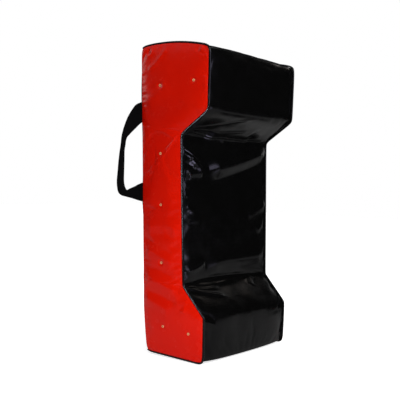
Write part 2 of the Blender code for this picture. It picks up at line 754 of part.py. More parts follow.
def make_handle_anchors(side, webbing):
    """The two sewn-in ends of a hand loop, flat inside the side panel."""
    outer_inset = COVER_THICKNESS + GAP
    inner_inset = outer_inset + STRAP_THICKNESS
    surface = panel_surface(side)
    for end, height in (("upper", HANDLE_TOP_HEIGHT), ("lower", HANDLE_FOOT_HEIGHT)):
        grids = []
        for inset in (outer_inset, inner_inset):
            grid = []
            for up in (-1 / 2, 0, 1 / 2):
                z = height + up * STRAP_WIDTH
                start = back_depth(z) - ANCHOR_SETBACK
                depths = [start - ANCHOR_LENGTH * i / SLOPE_CELL_COUNT for i in range(SLOPE_CELL_COUNT + 1)]
                grid.append([on_panel(surface, side, y, z)[0] - Vector((side * inset, 0, 0)) for y in depths])
            grids.append(grid)
        name = f"{side_name(side)}_handle_{end}_end"
        add_object(name, shell_mesh(name, *grids), webbing)


def zip_frame():
    """Empty on the back's outer face: Z up along the zip, Y straight out of the cover."""
    guide = bpy.data.objects.new("zip_line", None)
    bpy.context.collection.objects.link(guide)
    lean = back_lean()
    surface = Vector((0, back_depth(ZIP_MID_HEIGHT), ZIP_MID_HEIGHT))
    surface += Vector((0, math.cos(lean), -math.sin(lean))) * BACK_CROWN
    guide.matrix_world = Matrix.Translation(surface) @ Matrix.Rotation(-lean, 4, "X")
    return guide


def make_zip(guide, tape_cloth, teeth, metal):
    """Tapes, chain and stops of the zip, built on its own frame."""
    low, high = -ZIP_LENGTH / 2, ZIP_LENGTH / 2
    chain_low, chain_high = CHAIN_MID - CHAIN_THICKNESS / 2, CHAIN_MID + CHAIN_THICKNESS / 2
    tape_end = high + ZIP_WINDOW_END
    for side in (-1, 1):
        inner, outer = sorted((side * CHAIN_HALF_GAP, side * CHAIN_EDGE))
        tape_inner, tape_outer = sorted((side * (CHAIN_EDGE + GAP), side * (CHAIN_EDGE + GAP + TAPE_WIDTH)))
        tape = box_mesh("tape", (tape_inner, TAPE_TOP - TAPE_THICKNESS, -tape_end),
                        (tape_outer, TAPE_TOP, tape_end))
        chain = box_mesh("chain", (inner, chain_low, low), (outer, chain_high, high), CHAIN_CHAMFER)
        add_object("zip_tape_" + side_name(side), tape, tape_cloth, guide)
        add_object("zip_chain_" + side_name(side), chain, teeth, guide)
        stop = box_mesh("stop", (inner, chain_low, high + GAP),
                        (outer, chain_high, high + GAP + TOP_STOP_LENGTH), CHAIN_CHAMFER)
        add_object("zip_top_stop_" + side_name(side), stop, metal, guide)
    box = box_mesh("zip_bottom_stop", (-CHAIN_EDGE, chain_low, low - GAP - BOTTOM_STOP_LENGTH),
                   (CHAIN_EDGE, chain_high, low - GAP), CHAIN_CHAMFER)
    add_object("zip_bottom_stop", box, metal, guide)


def slider_levels():
    """Inner and outer faces of the slider's two plates, above and below the chain."""
    top_inner = CHAIN_MID + CHAIN_THICKNESS / 2 + GAP
    low_inner = CHAIN_MID - CHAIN_THICKNESS / 2 - GAP
    return top_inner, top_inner + SLIDER_PLATE, low_inner, low_inner - SLIDER_PLATE


def make_slider(guide, metal):
    """Slider with two plates round the chain, a web between its halves and a bridge for the pull."""
    top_inner, top_outer, low_inner, low_outer = slider_levels()
    flange_top = TAPE_TOP + GAP
    flange_low = TAPE_TOP - TAPE_THICKNESS - GAP
    half, inside, web = SLIDER_HALF_WIDTH, SLIDER_HALF_WIDTH - SLIDER_FLANGE, SLIDER_WEB_HALF
    right = [(half, top_outer), (half, flange_top), (inside, flange_top), (inside, top_inner),
             (web, top_inner), (web, low_inner), (inside, low_inner), (inside, flange_low),
             (half, flange_low), (half, low_outer)]
    outline = right + [(-x, y) for x, y in reversed(right)]
    at_top = Matrix.Translation((0, 0, (ZIP_LENGTH - SLIDER_LENGTH) / 2))
    body = extruded_mesh("zip_slider", outline, -SLIDER_LENGTH / 2, SLIDER_LENGTH / 2)
    slider = add_object("zip_slider", body, metal, guide, at_top)
    swing = tab_swing()
    leg_inner = swing + GAP
    leg_outer = leg_inner + BRIDGE_THICKNESS
    ceiling = top_outer + 2 * (GAP + swing)
    crown = ceiling + BRIDGE_THICKNESS
    foot = top_outer - SLIDER_PLATE / 2
    arch = [(foot, leg_outer), (crown, leg_outer), (crown, -leg_outer), (foot, -leg_outer),
            (foot, -leg_inner), (ceiling, -leg_inner), (ceiling, leg_inner), (foot, leg_inner)]
    bridge = extruded_mesh("zip_bridge", arch, -BRIDGE_HALF_WIDTH, BRIDGE_HALF_WIDTH)
    turn = Matrix(((0, 0, 1, 0), (1, 0, 0, 0), (0, 1, 0, 0), (0, 0, 0, 1)))
    join_with(slider, add_object("zip_bridge", bridge, metal, guide, at_top @ turn))


def tab_swing():
    """Radius that the pull tab's bar sweeps as it turns."""
    return math.hypot(TAB_BAR, TAB_THICKNESS) / 2


def make_pull_tab(guide, metal):
    """Pull tab that hangs from the slider's bridge by a bar across its window."""
    top_outer = slider_levels()[1]
    swing = tab_swing()
    rise = 2 * (swing + GAP) + BRIDGE_THICKNESS - swing - GAP
    reach = math.hypot(rise, swing + GAP + BRIDGE_THICKNESS)
    window_foot = -reach - 2 * GAP
    top, foot, chamfer = TAB_BAR / 2, TAB_BAR / 2 - TAB_LENGTH, TAB_CHAMFER
    wide, narrow, hole = TAB_FOOT_HALF_WIDTH, TAB_TOP_HALF_WIDTH, TAB_WINDOW_HALF_WIDTH
    outer = [(narrow, top), (wide, window_foot), (wide, foot + chamfer), (wide - chamfer, foot)]
    inner = [(hole, -TAB_BAR / 2), (hole, -TAB_BAR), (hole, window_foot + GAP), (hole - GAP, window_foot)]
    outer += [(-x, z) for x, z in reversed(outer)]
    inner += [(-x, z) for x, z in reversed(inner)]
    builder = bmesh.new()
    layers = []
    for y in (TAB_THICKNESS / 2, -TAB_THICKNESS / 2):
        layers.append([[builder.verts.new((x, y, z)) for x, z in loop] for loop in (outer, inner)])
    (front_out, front_in), (back_out, back_in) = layers
    for ring_a, ring_b in ((front_out, front_in), (front_in, back_in), (back_in, back_out),
                           (back_out, front_out)):
        for k in range(len(outer)):
            builder.faces.new((ring_a[k - 1], ring_a[k], ring_b[k], ring_b[k - 1]))
    axis = Matrix.Translation((0, top_outer + GAP + swing, (ZIP_LENGTH - SLIDER_LENGTH) / 2))
    upright = Matrix.Rotation(back_lean(), 4, "X")
    add_object("zip_pull_tab", finish_mesh("zip_pull_tab", builder), metal, guide, axis @ upright)


def make_zip_channel(slab, guide, foam):
    """Groove in the back slab that clears the tapes and the slider's lower plate."""
    low_outer = slider_levels()[3]
    half = CHAIN_EDGE + GAP + TAPE_WIDTH + CHANNEL_SPARE
    end = ZIP_LENGTH / 2 + CHANNEL_END_SPARE
    block = box_mesh("zip_channel", (-half, low_outer - CHANNEL_SPARE, -end), (half, OVERRUN, end))
    cut_with(slab, add_object("zip_channel", block, foam, guide))


def centre_on_base():
    """Put every piece on one empty, which brings the middle of the base to the origin."""
    pieces = [item for item in bpy.data.objects if item.parent is None]
    centre = bpy.data.objects.new("base_centre", None)
    bpy.context.collection.objects.link(centre)
    centre.location.y = -DEPTH_BASE / 2
    for item in pieces:
        item.parent = centre


def build():
    clear_scene()
    red_vinyl = make_material("red_vinyl", (0.52, 0.008, 0.002), 0.30)
    black_vinyl = make_material("black_vinyl", (0.006, 0.006, 0.007), 0.28)
    piping = make_material("black_welt", (0.008, 0.008, 0.009), 0.35)
    webbing = make_material("black_webbing", (0.008, 0.008, 0.009), 0.80)
    foam = make_material("grey_foam", (0.25, 0.25, 0.26), 0.95)
    brass = make_material("brass", (0.55, 0.36, 0.13), 0.35, 1.0)
    zip_cloth = make_material("zip_tape", (0.010, 0.010, 0.011), 0.85)
    zip_plastic = make_material("zip_chain", (0.015, 0.015, 0.016), 0.40)
    zip_metal = make_material("zip_metal", (0.30, 0.30, 0.31), 0.35, 1.0)

    for side in (-1, 1):
        make_side_panel(side, red_vinyl)
        make_handle(side, webbing)
        make_handle_anchors(side, webbing)
    make_vents(brass)
    make_wrap_panels(black_vinyl)
    make_back_panels(black_vinyl)
    make_welts(piping)
    slab = make_foam(foam)
    guide = zip_frame()
    make_zip(guide, zip_cloth, zip_plastic, zip_metal)
    make_slider(guide, zip_metal)
    make_pull_tab(guide, zip_metal)
    make_zip_channel(slab, guide, foam)
    centre_on_base()
    bpy.context.view_layer.update()


build()
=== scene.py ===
"""Rugby hit shield: glossy coated cloth over foam, sewn from a black wrap and two red sides.

The CAD nodes give every place. The cover's panels are refined from their own outer faces, puckered at
the seams and creased; loops, eyelets and zip are remade at the scale of thread and sheet metal.
"""
import json
import math

import bmesh
import bpy
import numpy as np
from mathutils import Matrix, Vector, noise
from mathutils.bvhtree import BVHTree
from mathutils.kdtree import KDTree


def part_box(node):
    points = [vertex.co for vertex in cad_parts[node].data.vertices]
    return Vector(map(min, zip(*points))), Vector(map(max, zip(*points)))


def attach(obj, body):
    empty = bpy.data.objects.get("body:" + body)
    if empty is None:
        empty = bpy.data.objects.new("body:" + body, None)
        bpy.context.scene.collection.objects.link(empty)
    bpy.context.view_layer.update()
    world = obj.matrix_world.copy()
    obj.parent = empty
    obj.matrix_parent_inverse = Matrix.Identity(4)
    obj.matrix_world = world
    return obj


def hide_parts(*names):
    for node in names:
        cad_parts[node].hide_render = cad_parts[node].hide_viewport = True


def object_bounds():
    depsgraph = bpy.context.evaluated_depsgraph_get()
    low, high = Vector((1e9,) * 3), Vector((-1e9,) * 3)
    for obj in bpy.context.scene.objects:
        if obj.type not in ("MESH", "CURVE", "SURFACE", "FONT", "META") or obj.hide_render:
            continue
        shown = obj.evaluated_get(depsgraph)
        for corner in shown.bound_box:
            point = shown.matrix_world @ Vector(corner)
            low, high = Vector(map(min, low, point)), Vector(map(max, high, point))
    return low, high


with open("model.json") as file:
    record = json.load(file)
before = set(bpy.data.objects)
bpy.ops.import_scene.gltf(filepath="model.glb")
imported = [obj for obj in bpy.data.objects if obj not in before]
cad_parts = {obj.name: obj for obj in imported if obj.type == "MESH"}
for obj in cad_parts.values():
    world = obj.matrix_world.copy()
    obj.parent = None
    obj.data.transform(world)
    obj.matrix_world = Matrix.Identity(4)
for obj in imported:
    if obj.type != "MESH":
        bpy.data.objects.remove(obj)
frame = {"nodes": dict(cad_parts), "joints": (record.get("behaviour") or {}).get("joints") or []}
cad_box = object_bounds()
nodes = frame["nodes"]
joints = {joint["name"]: joint for joint in frame["joints"]}
MM = 0.001


def new_object(name, data):
    """Object at the origin that holds the given data."""
    made = bpy.data.objects.new(name, data)
    bpy.context.scene.collection.objects.link(made)
    return made


def shape_of(mesh):
    """Editable copy of a mesh."""
    shape = bmesh.new()
    shape.from_mesh(mesh)
    return shape


def put_back(shape, mesh):
    """Write an edited shape into a mesh, and free it."""
    shape.to_mesh(mesh)
    shape.free()


def surface_of(piece):
    """Tree of a piece's faces, for rays to land on."""
    shape = shape_of(piece.data)
    shape.normal_update()
    tree = BVHTree.FromBMesh(shape)
    shape.free()
    return tree


def select_only(piece):
    bpy.ops.object.select_all(action="DESELECT")
    piece.select_set(True)
    bpy.context.view_layer.objects.active = piece


def linear(hex_colour):
    """sRGB hex to the linear colour that shaders take."""
    channels = [int(hex_colour[i:i + 2], 16) / 255 for i in (1, 3, 5)]
    return (*(c / 12.92 if c <= 0.04045 else ((c + 0.055) / 1.055) ** 2.4 for c in channels), 1.0)


def add_node(tree, kind, inputs=None, **settings):
    """Add a node, set its options, and fill or link its inputs."""
    made = tree.nodes.new(kind)
    for name, value in settings.items():
        setattr(made, name, value)
    for name, value in (inputs or {}).items():
        if isinstance(value, bpy.types.NodeSocket):
            tree.links.new(value, made.inputs[name])
        else:
            made.inputs[name].default_value = value
    return made


def ramp(made, *stops):
    """Set the two stops of a colour ramp from (position, colour) pairs."""
    for element, (position, colour) in zip(made.color_ramp.elements, stops):
        element.position = position
        element.color = colour
    return made


def new_material(name):
    material = bpy.data.materials.new(name)
    material.use_nodes = True
    tree = material.node_tree
    return material, tree, tree.nodes["Principled BSDF"]


def coated_cloth(name, deep, light, roughness, gloss):
    """PVC-coated polyester, calendered glossy: a fine pressed grain, cloudy colour, soft dull patches."""
    material, tree, shader = new_material(name)
    place = add_node(tree, "ShaderNodeTexCoord").outputs["Object"]
    cloud = add_node(tree, "ShaderNodeTexNoise", {"Vector": place, "Scale": 9.0, "Detail": 3.0})
    tone = add_node(tree, "ShaderNodeMix", {"Factor": cloud.outputs["Fac"], "A": linear(deep),
                                            "B": linear(light)}, data_type="RGBA")
    tree.links.new(tone.outputs["Result"], shader.inputs["Base Color"])
    # handling marks: dull smears a few centimetres long
    smear = add_node(tree, "ShaderNodeTexNoise", {"Vector": place, "Scale": 34.0, "Detail": 5.0,
                                                  "Roughness": 0.6})
    dull = add_node(tree, "ShaderNodeMapRange", {"Value": smear.outputs["Fac"], "From Min": 0.35,
                                                 "From Max": 0.75, "To Min": roughness,
                                                 "To Max": roughness + 0.12})
    tree.links.new(dull.outputs["Result"], shader.inputs["Roughness"])
    # pressed grain about 0.9 mm across, over slack ripples about 25 mm long
    grain = add_node(tree, "ShaderNodeTexVoronoi", {"Vector": place, "Scale": 1 / (0.9 * MM)},
                     feature="SMOOTH_F1")
    ripple = add_node(tree, "ShaderNodeTexNoise", {"Vector": place, "Scale": 1 / (25 * MM), "Detail": 2.0})
    soft = add_node(tree, "ShaderNodeBump", {"Height": ripple.outputs["Fac"], "Strength": 0.35,
                                             "Distance": 0.8 * MM})
    fine = add_node(tree, "ShaderNodeBump", {"Height": grain.outputs["Distance"], "Strength": 0.06,
                                             "Distance": 0.1 * MM, "Normal": soft.outputs["Normal"]})
    tree.links.new(fine.outputs["Normal"], shader.inputs["Normal"])
    shader.inputs["IOR"].default_value = 1.5
    shader.inputs["Specular IOR Level"].default_value = gloss
    return material


RED_PVC = coated_cloth("red_coated_pvc", "#C60C00", "#D81600", 0.2, 0.11)
BLACK_PVC = coated_cloth("black_coated_pvc", "#040404", "#080808", 0.15, 0.07)
PIPING_PVC = coated_cloth("piping_pvc", "#030304", "#060607", 0.08, 0.14)


def woven_webbing():
    """Polyester webbing, dyed black: ribs run along it 1.4 mm apart, crossed by finer weft, matt."""
    material, tree, shader = new_material("polyester_webbing")
    place = add_node(tree, "ShaderNodeUVMap", uv_map="weave").outputs["UV"]
    parts = add_node(tree, "ShaderNodeSeparateXYZ", {"Vector": place})
    rib = add_node(tree, "ShaderNodeMath", {0: parts.outputs["X"], 1: 2 * math.pi / (1.4 * MM)},
                   operation="MULTIPLY")
    weft = add_node(tree, "ShaderNodeMath", {0: parts.outputs["Y"], 1: 2 * math.pi / (1.1 * MM)},
                    operation="MULTIPLY")
    crest = add_node(tree, "ShaderNodeMath", {0: rib.outputs[0]}, operation="SINE")
    pick = add_node(tree, "ShaderNodeMath", {0: weft.outputs[0]}, operation="SINE")
    cross = add_node(tree, "ShaderNodeMath", {0: crest.outputs[0], 1: pick.outputs[0]}, operation="MULTIPLY")
    height = add_node(tree, "ShaderNodeMath", {0: cross.outputs[0], 1: 0.6, 2: crest.outputs[0]},
                      operation="MULTIPLY_ADD")
    tone = add_node(tree, "ShaderNodeMapRange", {"Value": height.outputs[0], "From Min": -1.6,
                                                 "From Max": 1.6})
    colour = add_node(tree, "ShaderNodeMix", {"Factor": tone.outputs["Result"], "A": linear("#020202"),
                                              "B": linear("#080809")}, data_type="RGBA")
    tree.links.new(colour.outputs["Result"], shader.inputs["Base Color"])
    bump = add_node(tree, "ShaderNodeBump", {"Height": height.outputs[0], "Strength": 0.5,
                                             "Distance": 0.15 * MM})
    tree.links.new(bump.outputs["Normal"], shader.inputs["Normal"])
    shader.inputs["Roughness"].default_value = 0.8
    shader.inputs["Specular IOR Level"].default_value = 0.03
    return material


def sewing_thread(name, dye):
    """Bonded polyester thread: two plies twisted, a soft lustre."""
    material, tree, shader = new_material(name)
    place = add_node(tree, "ShaderNodeTexCoord").outputs["Object"]
    ply = add_node(tree, "ShaderNodeTexWave", {"Vector": place, "Scale": 1 / (2.4 * MM), "Distortion": 1.0},
                   bands_direction="DIAGONAL")
    shader.inputs["Base Color"].default_value = linear(dye)
    bump = add_node(tree, "ShaderNodeBump", {"Height": ply.outputs["Fac"], "Strength": 0.3,
                                             "Distance": 0.08 * MM})
    tree.links.new(bump.outputs["Normal"], shader.inputs["Normal"])
    shader.inputs["Roughness"].default_value = 0.5
    return material


def pressed_brass():
    """Brass strip drawn into eyelets: patches of bright, smoother brass and of tarnished brown, duller brass,
    spread by noise.
    """
    material, tree, shader = new_material("pressed_brass")
    place = add_node(tree, "ShaderNodeTexCoord").outputs["Object"]
    stain = add_node(tree, "ShaderNodeTexNoise", {"Vector": place, "Scale": 1 / (2.2 * MM), "Detail": 4.0})
    tone = ramp(add_node(tree, "ShaderNodeValToRGB", {"Fac": stain.outputs["Fac"]}),
                (0.32, linear("#A87C4A")), (0.52, linear("#E8C08C")))
    tree.links.new(tone.outputs["Color"], shader.inputs["Base Color"])
    dull = add_node(tree, "ShaderNodeMapRange", {"Value": stain.outputs["Fac"], "From Min": 0.3,
                                                 "From Max": 0.7, "To Min": 0.5, "To Max": 0.3})
    tree.links.new(dull.outputs["Result"], shader.inputs["Roughness"])
    shader.inputs["Metallic"].default_value = 0.55
    return material


def cast_zinc():
    """Zinc alloy, die-cast and painted black: satin, the paint rubbed through to grey at the edges."""
    material, tree, shader = new_material("painted_zinc")
    place = add_node(tree, "ShaderNodeTexCoord").outputs["Object"]
    edge = add_node(tree, "ShaderNodeNewGeometry").outputs["Pointiness"]
    rub = add_node(tree, "ShaderNodeTexNoise", {"Vector": place, "Scale": 1 / (3.0 * MM), "Detail": 5.0})
    worn = add_node(tree, "ShaderNodeMath", {0: rub.outputs["Fac"], 1: 0.25, 2: edge},
                    operation="MULTIPLY_ADD")
    tone = ramp(add_node(tree, "ShaderNodeValToRGB", {"Fac": worn.outputs[0]}),
                (0.66, linear("#101012")), (0.72, linear("#8C8C8A")))
    tree.links.new(tone.outputs["Color"], shader.inputs["Base Color"])
    shader.inputs["Roughness"].default_value = 0.35
    shader.inputs["Metallic"].default_value = 0.6
    return material


def woven_tape():
    """Polyester zip tape: a close herringbone about 0.9 mm wide, dull black."""
    material, tree, shader = new_material("polyester_zip_tape")
    place = add_node(tree, "ShaderNodeTexCoord").outputs["Object"]
    weave = add_node(tree, "ShaderNodeTexWave", {"Vector": place, "Scale": 1 / (5.6 * MM), "Distortion": 3.0,
                                                 "Detail": 1.0, "Detail Scale": 3.0},
                     bands_direction="DIAGONAL")
    tone = add_node(tree, "ShaderNodeMix", {"Factor": weave.outputs["Fac"], "A": linear("#070708"),
                                            "B": linear("#17171A")}, data_type="RGBA")
    tree.links.new(tone.outputs["Result"], shader.inputs["Base Color"])
    bump = add_node(tree, "ShaderNodeBump", {"Height": weave.outputs["Fac"], "Strength": 0.35,
                                             "Distance": 0.1 * MM})
    tree.links.new(bump.outputs["Normal"], shader.inputs["Normal"])
    shader.inputs["Roughness"].default_value = 0.9
    return material


def moulded_nylon():
    """Nylon zip teeth, moulded black on the tape: a slight waxy shine and fine flow marks."""
    material, tree, shader = new_material("moulded_nylon")
    place = add_node(tree, "ShaderNodeTexCoord").outputs["Object"]
    flow = add_node(tree, "ShaderNodeTexNoise", {"Vector": place, "Scale": 1 / (1.2 * MM), "Detail": 2.0})
    dull = add_node(tree, "ShaderNodeMapRange", {"Value": flow.outputs["Fac"], "To Min": 0.3, "To Max": 0.5})
    tree.links.new(dull.outputs["Result"], shader.inputs["Roughness"])
    shader.inputs["Base Color"].default_value = linear("#0D0D0F")
    return material


def open_cell_foam():
    """Cut polyurethane foam, pale yellow: matt, with open cells of about 1.5 mm and a faint skin."""
    material, tree, shader = new_material("polyurethane_foam")
    place = add_node(tree, "ShaderNodeTexCoord").outputs["Object"]
    cells = add_node(tree, "ShaderNodeTexVoronoi", {"Vector": place, "Scale": 1 / (1.5 * MM)})
    tone = ramp(add_node(tree, "ShaderNodeValToRGB", {"Fac": cells.outputs["Distance"]}),
                (0.0, linear("#C9B98C")), (0.6, linear("#E6DAB4")))
    tree.links.new(tone.outputs["Color"], shader.inputs["Base Color"])
    pits = add_node(tree, "ShaderNodeBump", {"Height": cells.outputs["Distance"], "Strength": 0.5,
                                             "Distance": 0.4 * MM})
    tree.links.new(pits.outputs["Normal"], shader.inputs["Normal"])
    shader.inputs["Roughness"].default_value = 0.95
    return material


PU_FOAM = open_cell_foam()
WEBBING = woven_webbing()
BLACK_THREAD = sewing_thread("black_thread", "#0C0C0E")
BRASS = pressed_brass()
ZINC = cast_zinc()
ZIP_TAPE = woven_tape()
NYLON = moulded_nylon()


# A face of a panel's rim is as narrow as the cover is thick
RIM_FACE = 1.05 * MM
# The cage is cut away this far round a vent's middle, and filled in again
VENT_CUT = 4.5 * MM


def open_sheet(source, name, vents=()):
    """Outer face of a cover panel as a clean quad cage: rim, inner face and vent holes taken out."""
    mesh = nodes[source].data.copy()
    shape = shape_of(mesh)
    bmesh.ops.remove_doubles(shape, verts=shape.verts, dist=0.02 * MM)
    rim = [f for f in shape.faces if min(e.calc_length() for e in f.edges) < RIM_FACE]
    bmesh.ops.delete(shape, geom=rim, context="FACES_ONLY")
    bmesh.ops.delete(shape, geom=[e for e in shape.edges if not e.link_faces], context="EDGES")
    bmesh.ops.delete(shape, geom=[v for v in shape.verts if not v.link_edges], context="VERTS")
    middle = sum((Vector(c) for c in cad_box), Vector()) / 2
    todo = set(shape.faces)
    islands = []
    while todo:
        island, front = set(), [todo.pop()]
        while front:
            face = front.pop()
            island.add(face)
            for edge in face.edges:
                for other in edge.link_faces:
                    if other in todo:
                        todo.discard(other)
                        front.append(other)
        outward = sum(f.normal.dot(f.calc_center_median() - middle) * f.calc_area() for f in island)
        islands.append((outward, island))
    keep = max(islands, key=lambda i: i[0])[1]
    bmesh.ops.delete(shape, geom=[f for f in shape.faces if f not in keep], context="FACES")
    near = [v for v in shape.verts if any((v.co - c).length < VENT_CUT for c in vents)]
    bmesh.ops.delete(shape, geom=near, context="VERTS")
    bmesh.ops.holes_fill(shape, edges=[e for e in shape.edges if e.is_boundary], sides=9)
    bmesh.ops.join_triangles(shape, faces=shape.faces, angle_face_threshold=3.0, angle_shape_threshold=3.0,
                             cmp_materials=False)
    put_back(shape, mesh)
    mesh.name = name
    return new_object(name, mesh)


def apply_modifiers(piece):
    select_only(piece)
    for modifier in list(piece.modifiers):
        bpy.ops.object.modifier_apply(modifier=modifier.name)


def edge_rings(shape):
    """Edges that face each other across quads, in groups that a loop cut would cut together."""
    seen, rings = set(), []
    for edge in shape.edges:
        if edge in seen:
            continue
        seen.add(edge)
        ring = [edge]
        for loop in edge.link_loops:
            while len(loop.face.verts) == 4:
                opposite = loop.link_loop_next.link_loop_next
                if opposite.edge in seen:
                    break
                seen.add(opposite.edge)
                ring.append(opposite.edge)
                if opposite.link_loop_radial_next == opposite:
                    break
                loop = opposite.link_loop_radial_next
        rings.append(ring)
    return rings


def cut_evenly(shape, across, cell):
    """Cut the rings that run along an axis until their cells are about the asked size."""
    groups = {}
    for ring in edge_rings(shape):
        spans = [e.verts[1].co - e.verts[0].co for e in ring]
        length = sum(v.length for v in spans) / len(spans)
        along = sum(abs(v.normalized()[across]) for v in spans if v.length) / len(spans)
        cuts = round(length / cell) - 1
        if along > 0.7 and cuts > 0:
            groups.setdefault(cuts, []).extend(ring)
    for cuts, edges in groups.items():
        bmesh.ops.subdivide_edges(shape, edges=edges, cuts=cuts, use_grid_fill=True)


def refined(piece, cell, across):
    """Round the cage as a subdivision surface, then bring it to even cells fine enough for creases."""
    smooth = piece.modifiers.new("smooth", "SUBSURF")
    smooth.levels = smooth.render_levels = 2
    smooth.boundary_smooth = "ALL"
    apply_modifiers(piece)
    shape = shape_of(piece.data)
    for axis in (across, 2, 1 - across):
        cut_evenly(shape, axis, cell)
    inside = [v for v in shape.verts if not v.is_boundary]
    for _ in range(12):
        bmesh.ops.smooth_vert(shape, verts=inside, factor=0.5, use_axis_x=True, use_axis_y=True,
                              use_axis_z=True)
    put_back(shape, piece.data)
    return piece


def finer(piece):
    """One more level of subdivision, after the cloth has settled and before its creases go in."""
    smooth = piece.modifiers.new("finer", "SUBSURF")
    smooth.levels = smooth.render_levels = 1
    smooth.boundary_smooth = "ALL"
    apply_modifiers(piece)
    return piece


def closer(pieces, low, high):
    """Halve the cells of sheets of one pattern alike, where the first lies between two corners."""
    first = points_of(pieces[0])
    inside = np.all((first > low) & (first < high), axis=1)
    for piece in pieces:
        shape = shape_of(piece.data)
        edges = [e for e in shape.edges if inside[e.verts[0].index] and inside[e.verts[1].index]]
        bmesh.ops.subdivide_edges(shape, edges=edges, cuts=1, use_grid_fill=True)
        put_back(shape, piece.data)


def points_of(piece):
    co = np.empty(len(piece.data.vertices) * 3)
    piece.data.vertices.foreach_get("co", co)
    return co.reshape(-1, 3)


def directions_of(piece):
    normals = np.empty(len(piece.data.vertices) * 3)
    piece.data.vertex_normals.foreach_get("vector", normals)
    return normals.reshape(-1, 3)


def along_line(points, line):
    """Distance of each point from a polyline, and the share of the line's length where it is nearest."""
    line = np.array(line, float)
    starts, spans = line[:-1], line[1:] - line[:-1]
    lengths = np.linalg.norm(spans, axis=1)
    before = np.concatenate([[0.0], np.cumsum(lengths)])
    best = np.full(len(points), 9.0)
    share = np.zeros(len(points))
    for start, run, length, passed in zip(starts, spans, lengths, before):
        t = np.clip((points - start) @ run / length ** 2, 0, 1)
        gap = np.linalg.norm(points - start - t[:, None] * run, axis=1)
        nearer = gap < best
        best = np.where(nearer, gap, best)
        share = np.where(nearer, (passed + t * length) / before[-1], share)
    return best, share


def smooth_line(points, rounds=2):
    """Corner-cutting that turns a few points into a soft line."""
    for _ in range(rounds):
        cut = [points[0]]
        for a, b in zip(points, points[1:]):
            cut += [a * 0.75 + b * 0.25, a * 0.25 + b * 0.75]
        points = cut + [points[-1]]
    return points


def creased(piece, toward, strokes):
    """Press creases into a cover. A stroke is (width mm, height mm, sharpness, points as mm pairs).

    A pair is (x, z) on the front and (y, z) on a side, and it is dropped on to the cloth along toward.
    """
    tree = surface_of(piece)
    points, outward = points_of(piece), directions_of(piece)
    toward = Vector(toward)
    lift = np.zeros(len(points))
    for width, height, sharpness, pairs in strokes:
        line = []
        for across, up_mm in pairs:
            x, y = (across * MM, 0) if toward.y else (0, across * MM)
            start = Vector((x, y, up_mm * MM))
            found = tree.ray_cast(start - toward * 0.5, toward)[0]
            if found:
                line.append(found)
        if len(line) < 2:
            continue
        gap, share = along_line(points, [tuple(q) for q in smooth_line(line)])
        fade = np.clip(np.sin(np.pi * np.clip(share, 0.02, 0.98)) * 2.2, 0, 1)
        lift += height * MM * fade * np.exp(-((gap / (width * MM)) ** sharpness))
    return lifted(piece, points + outward * lift[:, None])


def lifted(piece, points):
    piece.data.vertices.foreach_set("co", points.ravel())
    piece.data.update()
    return piece


def rim_of(piece):
    """Ordered points of a sheet's outer edge, and a tree to find the nearest of them."""
    shape = shape_of(piece.data)
    edges = {e for e in shape.edges if e.is_boundary}
    start = min(edges, key=lambda e: e.index)
    walk, here, edge = [start.verts[0].co.copy()], start.verts[1], start
    while here != start.verts[0]:
        walk.append(here.co.copy())
        edge = next(e for e in here.link_edges if e in edges and e != edge)
        here = edge.other_vert(here)
    shape.free()
    tree = KDTree(len(walk))
    for i, point in enumerate(walk):
        tree.insert(point, i)
    tree.balance()
    return walk, tree


# A gathered seam ripples at two lengths
SHORT_RIPPLE = 9 * MM
LONG_RIPPLE = 21 * MM


def puckered(piece, height, reach, seed, slack=((0,), (1,))):
    """Gathers that a seam draws into the cloth: short ripples square to the edge, gone a little way in.

    The pair slack says how much of them is left at each height.
    """
    walk, tree = rim_of(piece)
    arcs = np.concatenate([[0.0], np.cumsum([(b - a).length for a, b in zip(walk, walk[1:])])])
    points, outward = points_of(piece), directions_of(piece)
    lift = np.zeros(len(points))
    for i, point in enumerate(points):
        _, nearest, gap = tree.find(point)
        if gap > 4 * reach:
            continue
        arc = arcs[nearest]
        short = noise.noise(Vector((arc / SHORT_RIPPLE, seed, 0)))
        wave = short + 0.6 * noise.noise(Vector((arc / LONG_RIPPLE, 7, seed)))
        lift[i] = height * wave * (1 - math.exp(-gap / (2.5 * MM))) * math.exp(-gap / reach)
    lift *= np.interp(points[:, 2], *slack)
    return lifted(piece, points + outward * lift[:, None])


def pinned(piece, flat, places, reach):
    """Bring the cloth back to where it lay at each vent, where the eyelet is crimped through it."""
    points = points_of(piece)
    for place in places:
        gap = np.linalg.norm(flat - np.array(place), axis=1)
        hold = np.exp(-((gap / reach) ** 4))[:, None]
        points = points * (1 - hold) + flat * hold
    return lifted(piece, points)


def slackened(piece, height, span, seed):
    """Broad uneven swells of cloth over foam, fading out at the seams."""
    _, tree = rim_of(piece)
    points, outward = points_of(piece), directions_of(piece)
    lift = np.zeros(len(points))
    for i, point in enumerate(points):
        gap = tree.find(point)[2]
        place = Vector(point) / span + Vector((seed, 0, 0))
        swell = noise.noise(place) + 0.45 * noise.noise(place * 2.3)
        lift[i] = height * swell * min(1.0, gap / (30 * MM))
    return lifted(piece, points + outward * lift[:, None])


def finished(piece, material, body, replaced):
    """Smooth a piece, give it its finish, hang it on its body and hide the node it stands for."""
    piece.data.materials.clear()
    piece.data.materials.append(material)
    piece.data.shade_smooth()
    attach(piece, body)
    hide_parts(replaced)


COVER_THICKNESS = 0.8 * MM


def finished_cover(piece, material, replaced):
    """Give a cover sheet its hemmed edge, finish and place in the assembly."""
    wall = piece.modifiers.new("cloth", "SOLIDIFY")
    wall.thickness = COVER_THICKNESS
    wall.offset = -1
    wall.use_rim_only = True
    apply_modifiers(piece)
    finished(piece, material, "shield", replaced)


SETTLE_FRAMES = 20


